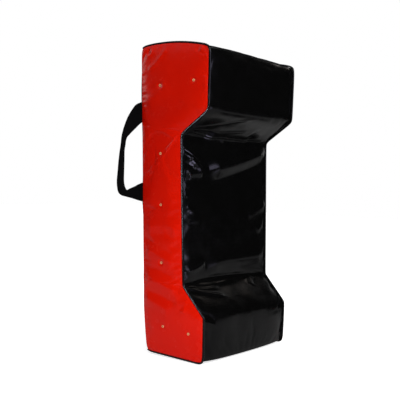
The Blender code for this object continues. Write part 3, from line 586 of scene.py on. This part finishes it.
def billowed(piece, grow, push, cap, slack=((0,), (1,))):
    """Let the cloth settle between its stitched edges: cut a little large, and pushed out by the foam.

    The pair slack says how much of the settling is left at each height.
    """
    before, outward = points_of(piece), directions_of(piece)
    shape = shape_of(piece.data)
    seam = [v.index for v in shape.verts if v.is_boundary]
    shape.free()
    piece.vertex_groups.new(name="seam").add(seam, 1.0, "REPLACE")
    cloth = piece.modifiers.new("cloth", "CLOTH")
    cloth.settings.quality = 5
    cloth.settings.mass = 0.2
    cloth.settings.tension_stiffness = cloth.settings.compression_stiffness = 25
    cloth.settings.shear_stiffness = 12
    cloth.settings.bending_stiffness = 0.3
    cloth.settings.vertex_group_mass = "seam"
    cloth.settings.shrink_min = -grow
    cloth.settings.use_pressure = True
    cloth.settings.uniform_pressure_force = push
    cloth.settings.effector_weights.gravity = 0
    cloth.collision_settings.use_collision = False
    cloth.point_cache.frame_start, cloth.point_cache.frame_end = 1, SETTLE_FRAMES
    for step in range(1, SETTLE_FRAMES + 1):
        bpy.context.scene.frame_set(step)
    apply_modifiers(piece)
    piece.vertex_groups.clear()
    # past the cap a point is held back, and never goes in further than the foam allows
    drift = points_of(piece) - before
    out = np.sum(drift * outward, axis=1)
    along = drift - outward * out[:, None]
    held = cap * np.tanh(out / cap)
    held *= np.interp(before[:, 2], *slack)
    return lifted(piece, before + along * 0.5 + outward * np.clip(held, -0.4 * cap, cap)[:, None])


def node_middle(name):
    low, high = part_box(name)
    return (low + high) / 2


# Creases of the black wrap: (width, height, sharpness, points), all in mm
FRONT_CREASES = [
    # recess: a curled fold by the left piping, with two fine pulls above it
    (2.4, 2.2, 1.4, [(-180, 515), (-156, 507), (-130, 495), (-112, 481)]),
    (2.4, 1.9, 1.4, [(-180, 505), (-156, 496), (-138, 489)]),
    (9, 4.6, 1.7, [(-152, 492), (-132, 480), (-116, 467), (-108, 456)]),
    (9, 5.0, 1.7, [(-188, 449), (-166, 451), (-144, 453), (-120, 455), (-104, 452)]),
    (9, -3.0, 1.6, [(-172, 478), (-132, 468)]),
    (4, 2.4, 1.4, [(-160, 450), (-152, 440)]),
    (5, 2.2, 1.4, [(-176, 424), (-156, 423)]),
    (4, 2.2, 1.3, [(-168, 372), (-155, 365), (-138, 360)]),
    (7, 1.6, 1.6, [(-164, 336), (-116, 341)]),
    (6, 2.0, 1.4, [(-176, 400), (-160, 399)]),
    (22, 10.5, 1.8, [(-84, 462), (-40, 471), (30, 485), (110, 503), (165, 522), (184, 533)]),
    (18, -5.5, 1.8, [(-84, 430), (-40, 438), (30, 451), (110, 469), (165, 488), (184, 500)]),
    # head of the recess: the cloth spans the corner, and its fold line stays
    (28, 8.0, 2.0, [(-195, 558), (-100, 557), (0, 558), (100, 558), (195, 558)]),
    (3.0, 2.4, 1.2, [(-170, 557), (-120, 551), (-57, 549), (-20, 551), (60, 549), (166, 549)]),
    (3.5, 2.0, 1.3, [(-28, 550), (-20, 535)]),
    (5, 1.4, 1.4, [(48, 531), (47, 515)]),
    (4, 1.2, 1.3, [(-172, 562), (-110, 572), (-40, 588), (20, 594)]),
    (3.5, 1.4, 1.3, [(-170, 558), (-100, 562), (-20, 566), (60, 572)]),
    (14, 4.0, 1.6, [(85, 345), (140, 364), (180, 382)]),
    (12, 3.0, 1.6, [(130, 302), (160, 326), (180, 345)]),
    (9, 4.5, 1.4, [(-172, 216), (-133, 219), (-94, 236)]),
    (22, 5.5, 1.8, [(-91, 222), (-32, 233), (40, 235), (118, 237), (180, 246)]),
    # foot of the recess, where the cloth gathers before the lower slope
    (7, -3.5, 1.4, [(-177, 179), (-130, 191), (-79, 195), (30, 193), (117, 189), (174, 186)]),
    (5, 3.0, 1.3, [(-176, 176), (-134, 165), (-52, 149)]),
    (4, 2.5, 1.3, [(-175, 178), (-129, 169), (-51, 168)]),
    (8, 2.5, 1.5, [(-147, 182), (-69, 176), (54, 183)]),
    (9, 2.5, 1.5, [(112, 187), (98, 175), (86, 162)]),
]

# Creases of the red sides, front edge to back edge
SIDE_CREASES = [
    (1.9, 1.6, 1.4, [(-6, 550), (0, 540), (22, 508), (50, 478), (70, 455), (90, 441)]),
    (1.9, 1.5, 1.4, [(7, 530), (33, 503), (58, 479), (79, 456), (101, 446)]),
    # gathers at the top corners
    (7, 1.8, 1.5, [(32, 757), (50, 736), (68, 717), (94, 702)]),
    (4, 1.6, 1.4, [(83, 757), (80, 743), (102, 737)]),
    (7, -2.4, 1.8, [(100, 750), (88, 749)]),
    (3, 1.8, 1.4, [(104, 764), (95, 758)]),
    (3, 1.8, 1.4, [(78, 766), (75, 756)]),
    (3.5, 1.8, 1.4, [(-74, 752), (-70, 738)]),
    (3.5, -1.4, 1.4, [(-62, 752), (-60, 740)]),
    (20, 1.6, 1.8, [(23, 672), (48, 649), (98, 621)]),
    (6, 1.2, 1.6, [(-84, 684), (-87, 640)]),
    (14, 1.8, 1.8, [(88, 321), (29, 322), (-14, 316)]),
    (11, 2.2, 1.7, [(90, 262), (46, 253), (-4, 233)]),
    (13, 3.2, 1.6, [(96, 192), (36, 183), (-20, 166)]),
    (14, 2.6, 1.7, [(92, 142), (43, 129), (0, 115)]),
    (9, 2.0, 1.6, [(-43, 152), (-37, 115)]),
    (12, -2.0, 1.8, [(90, 163), (30, 153), (-20, 136)]),
    (12, -1.6, 1.8, [(92, 222), (30, 213), (-12, 200)]),
]


FOAM_INSET = 4.5 * MM
FOAM_VOXEL = 6 * MM


def drawn_in_foam(source):
    """Polyurethane block a little inside its node, with its corners softened by the remesh."""
    block = new_object(f"{source}_block", nodes[source].data.copy())
    shape = shape_of(block.data)
    bmesh.ops.remove_doubles(shape, verts=shape.verts, dist=0.02 * MM)
    put_back(shape, block.data)
    grain = block.modifiers.new("grain", "REMESH")
    grain.mode = "VOXEL"
    grain.voxel_size = FOAM_VOXEL
    shrink = block.modifiers.new("shrink", "DISPLACE")
    shrink.mid_level = 0
    shrink.strength = -FOAM_INSET
    ease = block.modifiers.new("ease", "SMOOTH")
    ease.iterations = 3
    apply_modifiers(block)
    finished(block, PU_FOAM, "shield", source)


for source in ("foam_back_slab", "foam_top_block", "foam_base_block"):
    drawn_in_foam(source)

left_vents = [node_middle(f"left_vent_eyelet_{i}") for i in range(1, 8)]
right_vents = [node_middle(f"right_vent_eyelet_{i}") for i in range(1, 8)]
SIDE_CELL = 4.4 * MM
FRONT_CELL = 5.6 * MM

for side, vents, sign, seed in (("left", left_vents, -1, 3.1), ("right", right_vents, 1, 8.4)):
    cover = refined(open_sheet(f"{side}_side_panel", f"{side}_side_cover", vents), SIDE_CELL, 1)
    flat = finer(new_object(f"{side}_side_flat", cover.data.copy()))
    finer(billowed(cover, 0.010, 3.0, 1.5 * MM))
    closer([flat, cover], (-1, -0.015, 0.43), (1, 0.11, 0.56))
    slackened(cover, 0.9 * MM, 0.11, seed)
    creased(cover, (-sign, 0, 0), SIDE_CREASES)
    puckered(cover, 1.3 * MM, 8 * MM, seed)
    pinned(cover, points_of(flat), vents, 7 * MM)
    bpy.data.objects.remove(flat)
    finished_cover(cover, RED_PVC, f"{side}_side_panel")

# the front is pulled taut over the base block and the top block, and slack between them
FRONT_SLACK = ((0, 0.11, 0.52, 0.57), (0.15, 1, 1, 0.4))
front = refined(open_sheet("front_strip", "front_cover"), FRONT_CELL, 0)
finer(billowed(front, 0.012, 3.0, 4 * MM, FRONT_SLACK))
closer([front], (-0.2, -1, 0.43), (-0.09, 1, 0.53))
slackened(front, 2.0 * MM, 0.12, 1.7)
creased(front, (0, 1, 0), FRONT_CREASES)
puckered(front, 1.2 * MM, 9 * MM, 5.2, FRONT_SLACK)
finished_cover(front, BLACK_PVC, "front_strip")
base = refined(open_sheet("base_panel", "base_cover"), 2 * FRONT_CELL, 0)
finished_cover(base, BLACK_PVC, "base_panel")
for side, seed in (("left", 2.6), ("right", 6.3)):
    back = refined(open_sheet(f"back_{side}_panel", f"back_{side}_cover"), FRONT_CELL, 0)
    finer(billowed(back, 0.010, 3.0, 3 * MM))
    slackened(back, 1.4 * MM, 0.13, seed)
    puckered(back, 1.2 * MM, 8 * MM, seed)
    finished_cover(back, BLACK_PVC, f"back_{side}_panel")


def rounded_copy(source, name, levels, swell):
    """Smooth copy of a coarse node, its quads found again and its girth kept."""
    piece = open_copy(source, name)
    smooth = piece.modifiers.new("smooth", "SUBSURF")
    smooth.levels = smooth.render_levels = levels
    if swell:
        grow = piece.modifiers.new("grow", "DISPLACE")
        grow.mid_level = 0
        grow.strength = swell
    apply_modifiers(piece)
    return piece


def open_copy(source, name):
    """Copy of a node with its flat triangles joined again."""
    mesh = nodes[source].data.copy()
    shape = shape_of(mesh)
    bmesh.ops.remove_doubles(shape, verts=shape.verts, dist=0.01 * MM)
    bmesh.ops.join_triangles(shape, faces=shape.faces, angle_face_threshold=0.6, angle_shape_threshold=3.0,
                             cmp_materials=False)
    put_back(shape, mesh)
    mesh.name = name
    return new_object(name, mesh)


for side in ("left", "right"):
    welt = rounded_copy(f"{side}_welt", f"{side}_piping", 2, 0.35 * MM)
    finished(welt, PIPING_PVC, "shield", f"{side}_welt")

# Stations down a hand loop, near the path of the node's strap:
# reach, height, width and thickness in mm, and quarter turns
LOOP_STATIONS = [
    (-1.6, 101.6, 51.0, 1.4, 1.0), (0.0, 101.4, 51.0, 1.4, 1.0), (9.5, 96.4, 49.5, 1.7, 0.88),
    (17.7, 87.2, 45.5, 2.4, 0.834), (28.3, 72.8, 38.0, 3.6, 0.78), (37.0, 57.7, 27.0, 6.0, 0.69),
    (42.6, 45.8, 17.5, 8.2, 0.5), (45.7, 33.5, 13.2, 9.0, 0.14), (47.4, 20.0, 12.6, 9.0, 0.0),
    (49.7, 6.0, 12.6, 9.0, 0.0), (51.6, -19.0, 15.2, 9.0, 0.0), (53.2, -44.0, 16.7, 9.0, 0.0),
    (54.7, -68.2, 18.4, 9.0, 0.0), (53.6, -82.5, 19.7, 9.0, -0.05), (50.2, -94.0, 22.0, 8.6, -0.17),
    (45.0, -98.2, 21.5, 8.2, -0.45), (38.0, -98.8, 22.0, 7.6, -0.7), (30.0, -99.0, 25.5, 6.2, -0.88),
    (20.5, -98.8, 32.0, 4.4, -0.96), (9.6, -98.4, 41.0, 2.4, -1.0), (0.0, -97.8, 47.0, 1.4, -1.0),
    (-1.6, -97.6, 47.5, 1.4, -1.0),
]
# A loop stands out of the back edge at 45 degrees, square to its hinge. This is the right one's direction
LOOP_OUT = Vector((0.70701, 0.70622, -0.03727))


def between(stations, steps):
    """Points of a smooth curve through the stations, a few to each gap."""
    made = []
    rows = [np.array(row) for row in stations]
    rows = [2 * rows[0] - rows[1], *rows, 2 * rows[-1] - rows[-2]]
    for a, b, c, d in zip(rows, rows[1:], rows[2:], rows[3:]):
        for i in range(steps):
            t = i / steps
            made.append(0.5 * (2 * b + (c - a) * t + (2 * a - 5 * b + 4 * c - d) * t * t
                               + (3 * b - a - 3 * c + d) * t ** 3))
    return made + [rows[-2]]


def strap_section(width, thickness, count=28):
    """Points round a strap cut across: two faces that bow out a little, and rounded edges."""
    ring = []
    for k in range(count):
        turn = 2 * math.pi * k / count
        c, s = math.cos(turn), math.sin(turn)
        across = width / 2 * math.copysign(abs(c) ** 0.55, c)
        through = thickness / 2 * math.copysign(abs(s) ** 0.55, s)
        ring.append((across, through))
    return ring


def hand_loop(side, sign):
    """Webbing that leaves the seam flat, folds in half for the grip and opens out again below."""
    mesh = bpy.data.meshes.new(f"{side}_hand_loop")
    shape = bmesh.new()
    weave = shape.loops.layers.uv.new("weave")
    hinge = joints[f"{side}_handle_swing"]
    origin, up_axis = Vector(hinge["pos_m"]), Vector(hinge["axis"])
    out_axis = Vector((sign * LOOP_OUT.x, LOOP_OUT.y, LOOP_OUT.z))
    through_axis = out_axis.cross(up_axis)
    rows, walked, last = [], 0.0, None
    for reach, height, width, thickness, turn in between(LOOP_STATIONS, 4):
        turn *= math.pi / 2
        centre = origin + out_axis * reach * MM + up_axis * height * MM
        walked += (centre - last).length if last else 0.0
        last = centre
        across_axis = out_axis * math.cos(turn) + up_axis * math.sin(turn)
        fold = max(0.0, min(1.0, (thickness - 2.5) / 5))
        ring, around = [], 0.0
        for across, through in strap_section(width * MM, thickness * MM):
            # the open side of the folded strap shows as a groove between its two edges
            groove = 1.3 * MM * fold * math.exp(-(through / (1.0 * MM)) ** 2) if across < 0 else 0
            ring.append(centre + across_axis * (across + groove) + through_axis * through)
        rows.append((ring, walked))
    verts = [[shape.verts.new(p) for p in ring] for ring, _ in rows]
    girths = []
    for ring, _ in rows:
        girth = [0.0]
        for a, b in zip(ring, ring[1:] + ring[:1]):
            girth.append(girth[-1] + (b - a).length)
        girths.append(girth)
    for j in range(len(verts) - 1):
        for k in range(len(verts[j])):
            n = (k + 1) % len(verts[j])
            face = shape.faces.new((verts[j][k], verts[j][n], verts[j + 1][n], verts[j + 1][k]))
            uvs = ((girths[j][k], rows[j][1]), (girths[j][k + 1], rows[j][1]),
                   (girths[j + 1][k + 1], rows[j + 1][1]), (girths[j + 1][k], rows[j + 1][1]))
            for loop, uv in zip(face.loops, uvs):
                loop[weave].uv = uv
    shape.faces.new(verts[0])
    shape.faces.new(verts[-1])
    bmesh.ops.recalc_face_normals(shape, faces=shape.faces)
    put_back(shape, mesh)
    finished(new_object(mesh.name, mesh), WEBBING, f"{side}_handle", f"{side}_handle")


for side, sign in (("left", -1), ("right", 1)):
    hand_loop(side, sign)
    for end in ("upper", "lower"):
        source = f"{side}_handle_{end}_end"
        tail = rounded_copy(source, f"{side}_loop_{end}_tail", 1, 0)
        finished(tail, WEBBING, "shield", source)


# Half section of an eyelet, from the barrel's foot to the flange's edge: radius and height in mm
EYELET_SECTION = [
    (1.5, -1.6), (1.5, 0.1), (1.6, 0.5), (2.0, 0.75), (2.5, 0.7), (3.0, 0.45), (3.4, 0.1), (3.3, -0.05),
]


def pressed_eyelet():
    """Rolled-edge eyelet: a crowned flange round a short barrel, spun once and copied."""
    bpy.ops.object.select_all(action="DESELECT")
    bpy.ops.mesh.primitive_plane_add(size=1)
    piece = bpy.context.object
    bpy.ops.object.mode_set(mode="EDIT")
    bpy.ops.mesh.select_all(action="SELECT")
    bpy.ops.mesh.delete(type="VERT")
    shape = bmesh.from_edit_mesh(piece.data)
    line = [shape.verts.new((r * MM, 0, h * MM)) for r, h in EYELET_SECTION]
    for a, b in zip(line, line[1:]):
        shape.edges.new((a, b))
    bmesh.update_edit_mesh(piece.data)
    bpy.ops.mesh.select_all(action="SELECT")
    bpy.ops.mesh.spin(steps=28, angle=2 * math.pi, center=(0, 0, 0), axis=(0, 0, 1))
    bpy.ops.mesh.remove_doubles(threshold=0.01 * MM)
    bpy.ops.mesh.normals_make_consistent(inside=False)
    bpy.ops.object.mode_set(mode="OBJECT")
    return piece


eyelet = pressed_eyelet()
for side, sign in (("left", -1), ("right", 1)):
    cloth = surface_of(bpy.data.objects[f"{side}_side_cover"])
    for number in range(1, 8):
        source = f"{side}_vent_eyelet_{number}"
        middle = node_middle(source)
        place, normal, _, _ = cloth.ray_cast(Vector((sign * 0.5, middle.y, middle.z)), Vector((-sign, 0, 0)))
        place = place or middle
        normal = Vector((sign, 0, 0)) if normal is None else normal
        mesh = eyelet.data.copy()
        mesh.transform(Matrix.Translation(place) @ normal.to_track_quat("Z", "Y").to_matrix().to_4x4())
        finished(new_object(f"{side}_eyelet_{number}", mesh), BRASS, "shield", source)
        washer = nodes[f"{side}_vent_washer_{number}"]
        washer.data.materials.clear()
        washer.data.materials.append(BRASS)
bpy.data.objects.remove(eyelet)


# The zip lies in the back's window: its own frame runs across, out of the back and up the slanted back
ZIP_MIDDLE = Vector((0, 0.1117, 0.41482))
ZIP_UP = Vector(joints["zip_slide"]["axis"])
ZIP_OUT = Vector((0, ZIP_UP.z, -ZIP_UP.y))
ZIP_LENGTH = 0.560
ZIP_AXES = Matrix((ZIP_UP.cross(-ZIP_OUT), ZIP_OUT, ZIP_UP)).transposed().to_4x4()
ZIP_FRAME = Matrix.Translation(ZIP_MIDDLE) @ ZIP_AXES
TOOTH_PITCH = 3.2 * MM


def one_tooth():
    """Moulded tooth: a neck gripping the tape's edge and a rounded head that locks between its neighbours."""
    bpy.ops.object.select_all(action="DESELECT")
    bpy.ops.mesh.primitive_cube_add(size=1, location=(-1.8 * MM, -0.4 * MM, 0))
    tooth = bpy.context.object
    tooth.scale = (4.8 * MM, 3.0 * MM, 1.35 * MM)
    bpy.ops.object.transform_apply(location=True, rotation=False, scale=True)
    shape = shape_of(tooth.data)
    lengthwise = [e for e in shape.edges if abs((e.verts[0].co - e.verts[1].co).x) > MM]
    bmesh.ops.subdivide_edges(shape, edges=lengthwise, cuts=2)
    for v in shape.verts:
        share = (v.co.x + 4.2 * MM) / (4.8 * MM)
        if 0.2 < share < 0.8:
            v.co.z *= 0.72
            v.co.y = -0.4 * MM + (v.co.y + 0.4 * MM) * 0.86
    put_back(shape, tooth.data)
    edge = tooth.modifiers.new("edge", "BEVEL")
    edge.width = 0.28 * MM
    edge.segments = 1
    apply_modifiers(tooth)
    return tooth


def zip_teeth(tooth, side, sign, start):
    """One side's run of teeth, set half a pitch off the other side's."""
    shape = bmesh.new()
    for number in range(int(ZIP_LENGTH / TOOTH_PITCH)):
        first = len(shape.verts)
        shape.from_mesh(tooth.data)
        shape.verts.ensure_lookup_table()
        height = -ZIP_LENGTH / 2 + (number + start) * TOOTH_PITCH
        for v in shape.verts[first:]:
            v.co = ZIP_FRAME @ Vector((v.co.x * sign, v.co.y - 1.2 * MM, v.co.z + height))
    if sign < 0:
        bmesh.ops.reverse_faces(shape, faces=shape.faces)
    mesh = bpy.data.meshes.new(f"zip_teeth_{side}")
    put_back(shape, mesh)
    finished(new_object(mesh.name, mesh), NYLON, "shield", f"zip_chain_{side}")


tooth = one_tooth()
zip_teeth(tooth, "left", 1, 0.25)
zip_teeth(tooth, "right", -1, 0.75)
bpy.data.objects.remove(tooth)


def eased_copy(source, name, width, body):
    """Copy of a rigid node with its edges eased, as casting and tumbling leave them."""
    piece = open_copy(source, name)
    edge = piece.modifiers.new("edge", "BEVEL")
    edge.width = width
    edge.segments = 2
    edge.limit_method = "ANGLE"
    edge.harden_normals = False
    apply_modifiers(piece)
    finished(piece, ZINC, body, source)
    select_only(piece)
    bpy.ops.object.shade_smooth_by_angle(angle=math.radians(35))


eased_copy("zip_slider", "zip_runner", 0.25 * MM, "zip_slider")
eased_copy("zip_pull_tab", "zip_puller", 0.3 * MM, "zip_pull_tab")
for stop in ("zip_top_stop_left", "zip_top_stop_right", "zip_bottom_stop"):
    eased_copy(stop, stop.replace("stop", "clip"), 0.3 * MM, "shield")
for side in ("left", "right"):
    source = f"zip_tape_{side}"
    tape = open_copy(source, f"zip_ribbon_{side}")
    shape = shape_of(tape.data)
    long_edges = [e for e in shape.edges if e.calc_length() > 0.2]
    bmesh.ops.subdivide_edges(shape, edges=long_edges, cuts=110, use_grid_fill=True)
    for v in shape.verts:
        v.co += ZIP_OUT * 0.12 * MM * noise.noise(v.co * 60)
    put_back(shape, tape.data)
    finished(tape, ZIP_TAPE, "shield", source)


# A stitch lies on the cloth for its length, and the next one starts a step further on
STITCH_STEP = 3.4 * MM
STITCH_LENGTH = 2.6 * MM
STITCH_OFFSET = 9.2 * MM
STITCH_OVERRUN = 6 * MM
# Share of a stitch's length, and how thick the thread is there
THREAD_SIZES = ((0.0, 0.35), (0.2, 1.0), (0.5, 1.15), (0.8, 1.0), (1.0, 0.35))


def stitch_row(name, stitches):
    """Lockstitches, each a bowed thread that is drawn thin where it dips into the cloth."""
    shape = bmesh.new()
    turns = [2 * math.pi * k / 6 for k in range(6)]
    for a, b, normal in stitches:
        side_axis = (b - a).normalized().cross(normal)
        rings = []
        for share, size in THREAD_SIZES:
            centre = a.lerp(b, share) + normal * (0.30 * MM * math.sin(math.pi * share) - 0.1 * MM)
            spokes = [side_axis * math.cos(t) + normal * math.sin(t) for t in turns]
            rings.append([shape.verts.new(centre + spoke * 0.32 * MM * size) for spoke in spokes])
        for ring, after in zip(rings, rings[1:]):
            for k in range(6):
                shape.faces.new((ring[k - 1], ring[k], after[k], after[k - 1]))
        shape.faces.new(rings[0][::-1])
        shape.faces.new(rings[-1])
    bmesh.ops.recalc_face_normals(shape, faces=shape.faces)
    mesh = bpy.data.meshes.new(name)
    put_back(shape, mesh)
    row = new_object(name, mesh)
    mesh.materials.append(BLACK_THREAD)
    mesh.shade_smooth()
    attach(row, "shield")


def sewn(side, sign):
    """Row of stitches along one side of the zip's window, dropped straight on to the back's cover."""
    cloth = surface_of(bpy.data.objects[f"back_{side}_cover"])
    reach = ZIP_LENGTH / 2 + STITCH_OVERRUN
    start, end = (ZIP_FRAME @ Vector((sign * STITCH_OFFSET, 0, height)) for height in (-reach, reach))
    total = (end - start).length
    stitches = []
    for i in range(int(total / STITCH_STEP)):
        holes = (i * STITCH_STEP / total, (i * STITCH_STEP + STITCH_LENGTH) / total)
        landed = [cloth.ray_cast(start.lerp(end, hole) + ZIP_OUT * 0.2, -ZIP_OUT)[:2] for hole in holes]
        if all(place is not None for place, _ in landed):
            (a, normal), (b, _) = landed
            stitches.append((a, b, normal))
    stitch_row(f"zip_stitching_{side}", stitches)


for side, sign in (("left", -1), ("right", 1)):
    sewn(side, sign)


# Camera at the photograph's place: 67 mm lens, a little above the middle, turned to the left side
CAMERA_PLACE = Vector((-1.5535, -1.1477, 0.4427))
YAW, PITCH, ROLL = math.radians(51.942), math.radians(-1.689), math.radians(1.809)
LENS_PIXELS = 740
FRAME_PIXELS = 400

ahead = Vector((math.sin(YAW) * math.cos(PITCH), math.cos(YAW) * math.cos(PITCH), math.sin(PITCH)))
level_right = Vector((math.cos(YAW), -math.sin(YAW), 0))
level_up = level_right.cross(ahead)
right = math.cos(ROLL) * level_right + math.sin(ROLL) * level_up
up = -math.sin(ROLL) * level_right + math.cos(ROLL) * level_up
camera_data = bpy.data.cameras.new("camera")
camera_data.sensor_width = 36
camera_data.lens = LENS_PIXELS / FRAME_PIXELS * camera_data.sensor_width
camera = new_object("camera", camera_data)
camera.matrix_world = Matrix.Translation(CAMERA_PLACE) @ Matrix((right, up, -ahead)).transposed().to_4x4()
bpy.context.scene.camera = camera


def area_light(name, place, target, size, power, colour):
    data = bpy.data.lights.new(name, "AREA")
    data.shape = "RECTANGLE"
    data.size, data.size_y = size
    data.energy = power
    data.color = linear(colour)[:3]
    lamp = new_object(name, data)
    turn = (Vector(target) - Vector(place)).to_track_quat("-Z", "Y")
    lamp.matrix_world = Matrix.Translation(place) @ turn.to_matrix().to_4x4()
    return lamp


area_light("key_softbox", (-1.25, -2.45, 2.2), (0, 0, 0.4), (1.1, 1.1), 71, "#FFFFFF")
area_light("top_softbox", (0.1, 0.1, 2.6), (0, 0, 0.4), (1.4, 1.4), 14, "#FFFFFF")
# a bright panel in front, to the right of the camera, that only gloss shows
fill = area_light("fill_panel", (0.35, -2.3, 1.25), (0, 0, 0.35), (1.2, 1.4), 50, "#E2DCFF")
fill.visible_diffuse = False

# Panels that only gloss shows, each for one cover or the piping:
# name, receivers, place, target, size, watts, colour, spread in degrees
GLOSS_PANELS = [
    ("piping_panel", ["left_piping", "right_piping"], (-2.3, 1.0, 0.3), (-0.19, 0, 0.35), (0.35, 0.8),
     95, "#DCEBFF", 180),
    ("slope_panel", ["front_cover"], (1.52, -0.2, 1.45), (-0.08, 0, 0.47), (0.3, 0.22),
     0.4, "#FFF2E8", 180),
    ("curl_panel", ["front_cover"], (0.25, -0.74, 0.02), (-0.14, -0.02, 0.48), (0.36, 0.3),
     0.75, "#DCD4FF", 50),
    ("side_panel", ["left_side_cover"], (-0.8, 1.88, 1.05), (-0.19, 0.05, 0.47), (0.5, 0.5),
     2.4, "#FFFFFF", 180),
]
for name, receivers, place, target, size, power, colour, spread in GLOSS_PANELS:
    panel = area_light(name, place, target, size, power, colour)
    panel.visible_diffuse = panel.visible_camera = False
    panel.data.spread = math.radians(spread)
    shown = bpy.data.collections.new(f"{name}_only")
    for receiver in receivers:
        shown.objects.link(bpy.data.objects[receiver])
    panel.light_linking.receiver_collection = shown
# light thrown back by the floor on to the lower part
bounce = area_light("low_bounce", (-0.66, -0.3, 0.06), (-0.19, -0.03, 0.09), (0.8, 0.1), 1.2, "#FFFFFF")
bounce.visible_glossy = bounce.visible_camera = False


def stage_plane(name, size, place, facing=(0, 0, 1)):
    bpy.ops.object.select_all(action="DESELECT")
    bpy.ops.mesh.primitive_plane_add(size=size, location=place,
                                     rotation=Vector(facing).to_track_quat("Z", "Y").to_euler())
    plane = bpy.context.object
    plane.name = name
    return plane


# White sweep of paper: the light that the camera sees in it rises away from the object, the shadow stays
sweep_paper, tree, shader = new_material("sweep_paper")
shader.inputs["Base Color"].default_value = linear("#F4F4F4")
shader.inputs["Roughness"].default_value = 0.9
place = add_node(tree, "ShaderNodeTexCoord").outputs["Object"]
reach = add_node(tree, "ShaderNodeVectorMath", {0: place}, operation="LENGTH")
glow = add_node(tree, "ShaderNodeMapRange", {"Value": reach.outputs["Value"], "From Min": 0.25,
                                             "From Max": 1.1, "To Min": 0.76, "To Max": 1.0})
paths = add_node(tree, "ShaderNodeLightPath")
seen = add_node(tree, "ShaderNodeMath", {0: glow.outputs["Result"], 1: paths.outputs["Is Camera Ray"]},
                operation="MULTIPLY")
shader.inputs["Emission Color"].default_value = linear("#FFFFFF")
tree.links.new(seen.outputs[0], shader.inputs["Emission Strength"])
floor = stage_plane("studio_floor", 14, (0, 0, -0.5 * MM))
floor.data.materials.append(sweep_paper)

# Black cards where the glossy faces would otherwise mirror the white room
flag_cloth, tree, shader = new_material("flag_cloth")
shader.inputs["Base Color"].default_value = linear("#0A0A0A")
shader.inputs["Roughness"].default_value = 0.9
# name, size, share of it in height, place, facing
FLAGS = [
    ("front_flag", 4.6, 1.0, (2.2, -2.0, 1.2), (-2.2, 2.0, -1.2)),
    ("back_flag", 5.6, 0.44, (-2.3, 1.6, 0.32), (2.3, -1.6, 0)),
    ("top_flag", 3.0, 1.0, (2.6, 1.7, 2.1), (-2.6, -1.7, -1.4)),
    ("floor_flag", 3.0, 1.0, (2.8, -2.25, 1 * MM), (0, 0, 1)),
    ("near_flag", 0.34, 1.0, (0.81, -0.3, 1 * MM), (0, 0, 1)),
]
for name, size, height_share, place, facing in FLAGS:
    flag = stage_plane(name, size, place, facing)
    flag.scale.y = height_share
    flag.data.materials.append(flag_cloth)
    flag.visible_camera = flag.visible_diffuse = flag.visible_shadow = False

world = bpy.data.worlds.new("studio")
bpy.context.scene.world = world
world.use_nodes = True
tree = world.node_tree
paths = add_node(tree, "ShaderNodeLightPath")
seen = paths.outputs["Is Camera Ray"]
for ray in ("Is Glossy Ray", "Is Transmission Ray"):
    seen = add_node(tree, "ShaderNodeMath", {0: seen, 1: paths.outputs[ray]}, operation="MAXIMUM").outputs[0]
background = tree.nodes["Background"]
background.inputs["Color"].default_value = linear("#FFFFFF")
level = add_node(tree, "ShaderNodeMapRange", {"Value": seen, "To Min": 0.2, "To Max": 1.0})
tree.links.new(level.outputs["Result"], background.inputs["Strength"])
bpy.context.scene.view_settings.view_transform = "Standard"
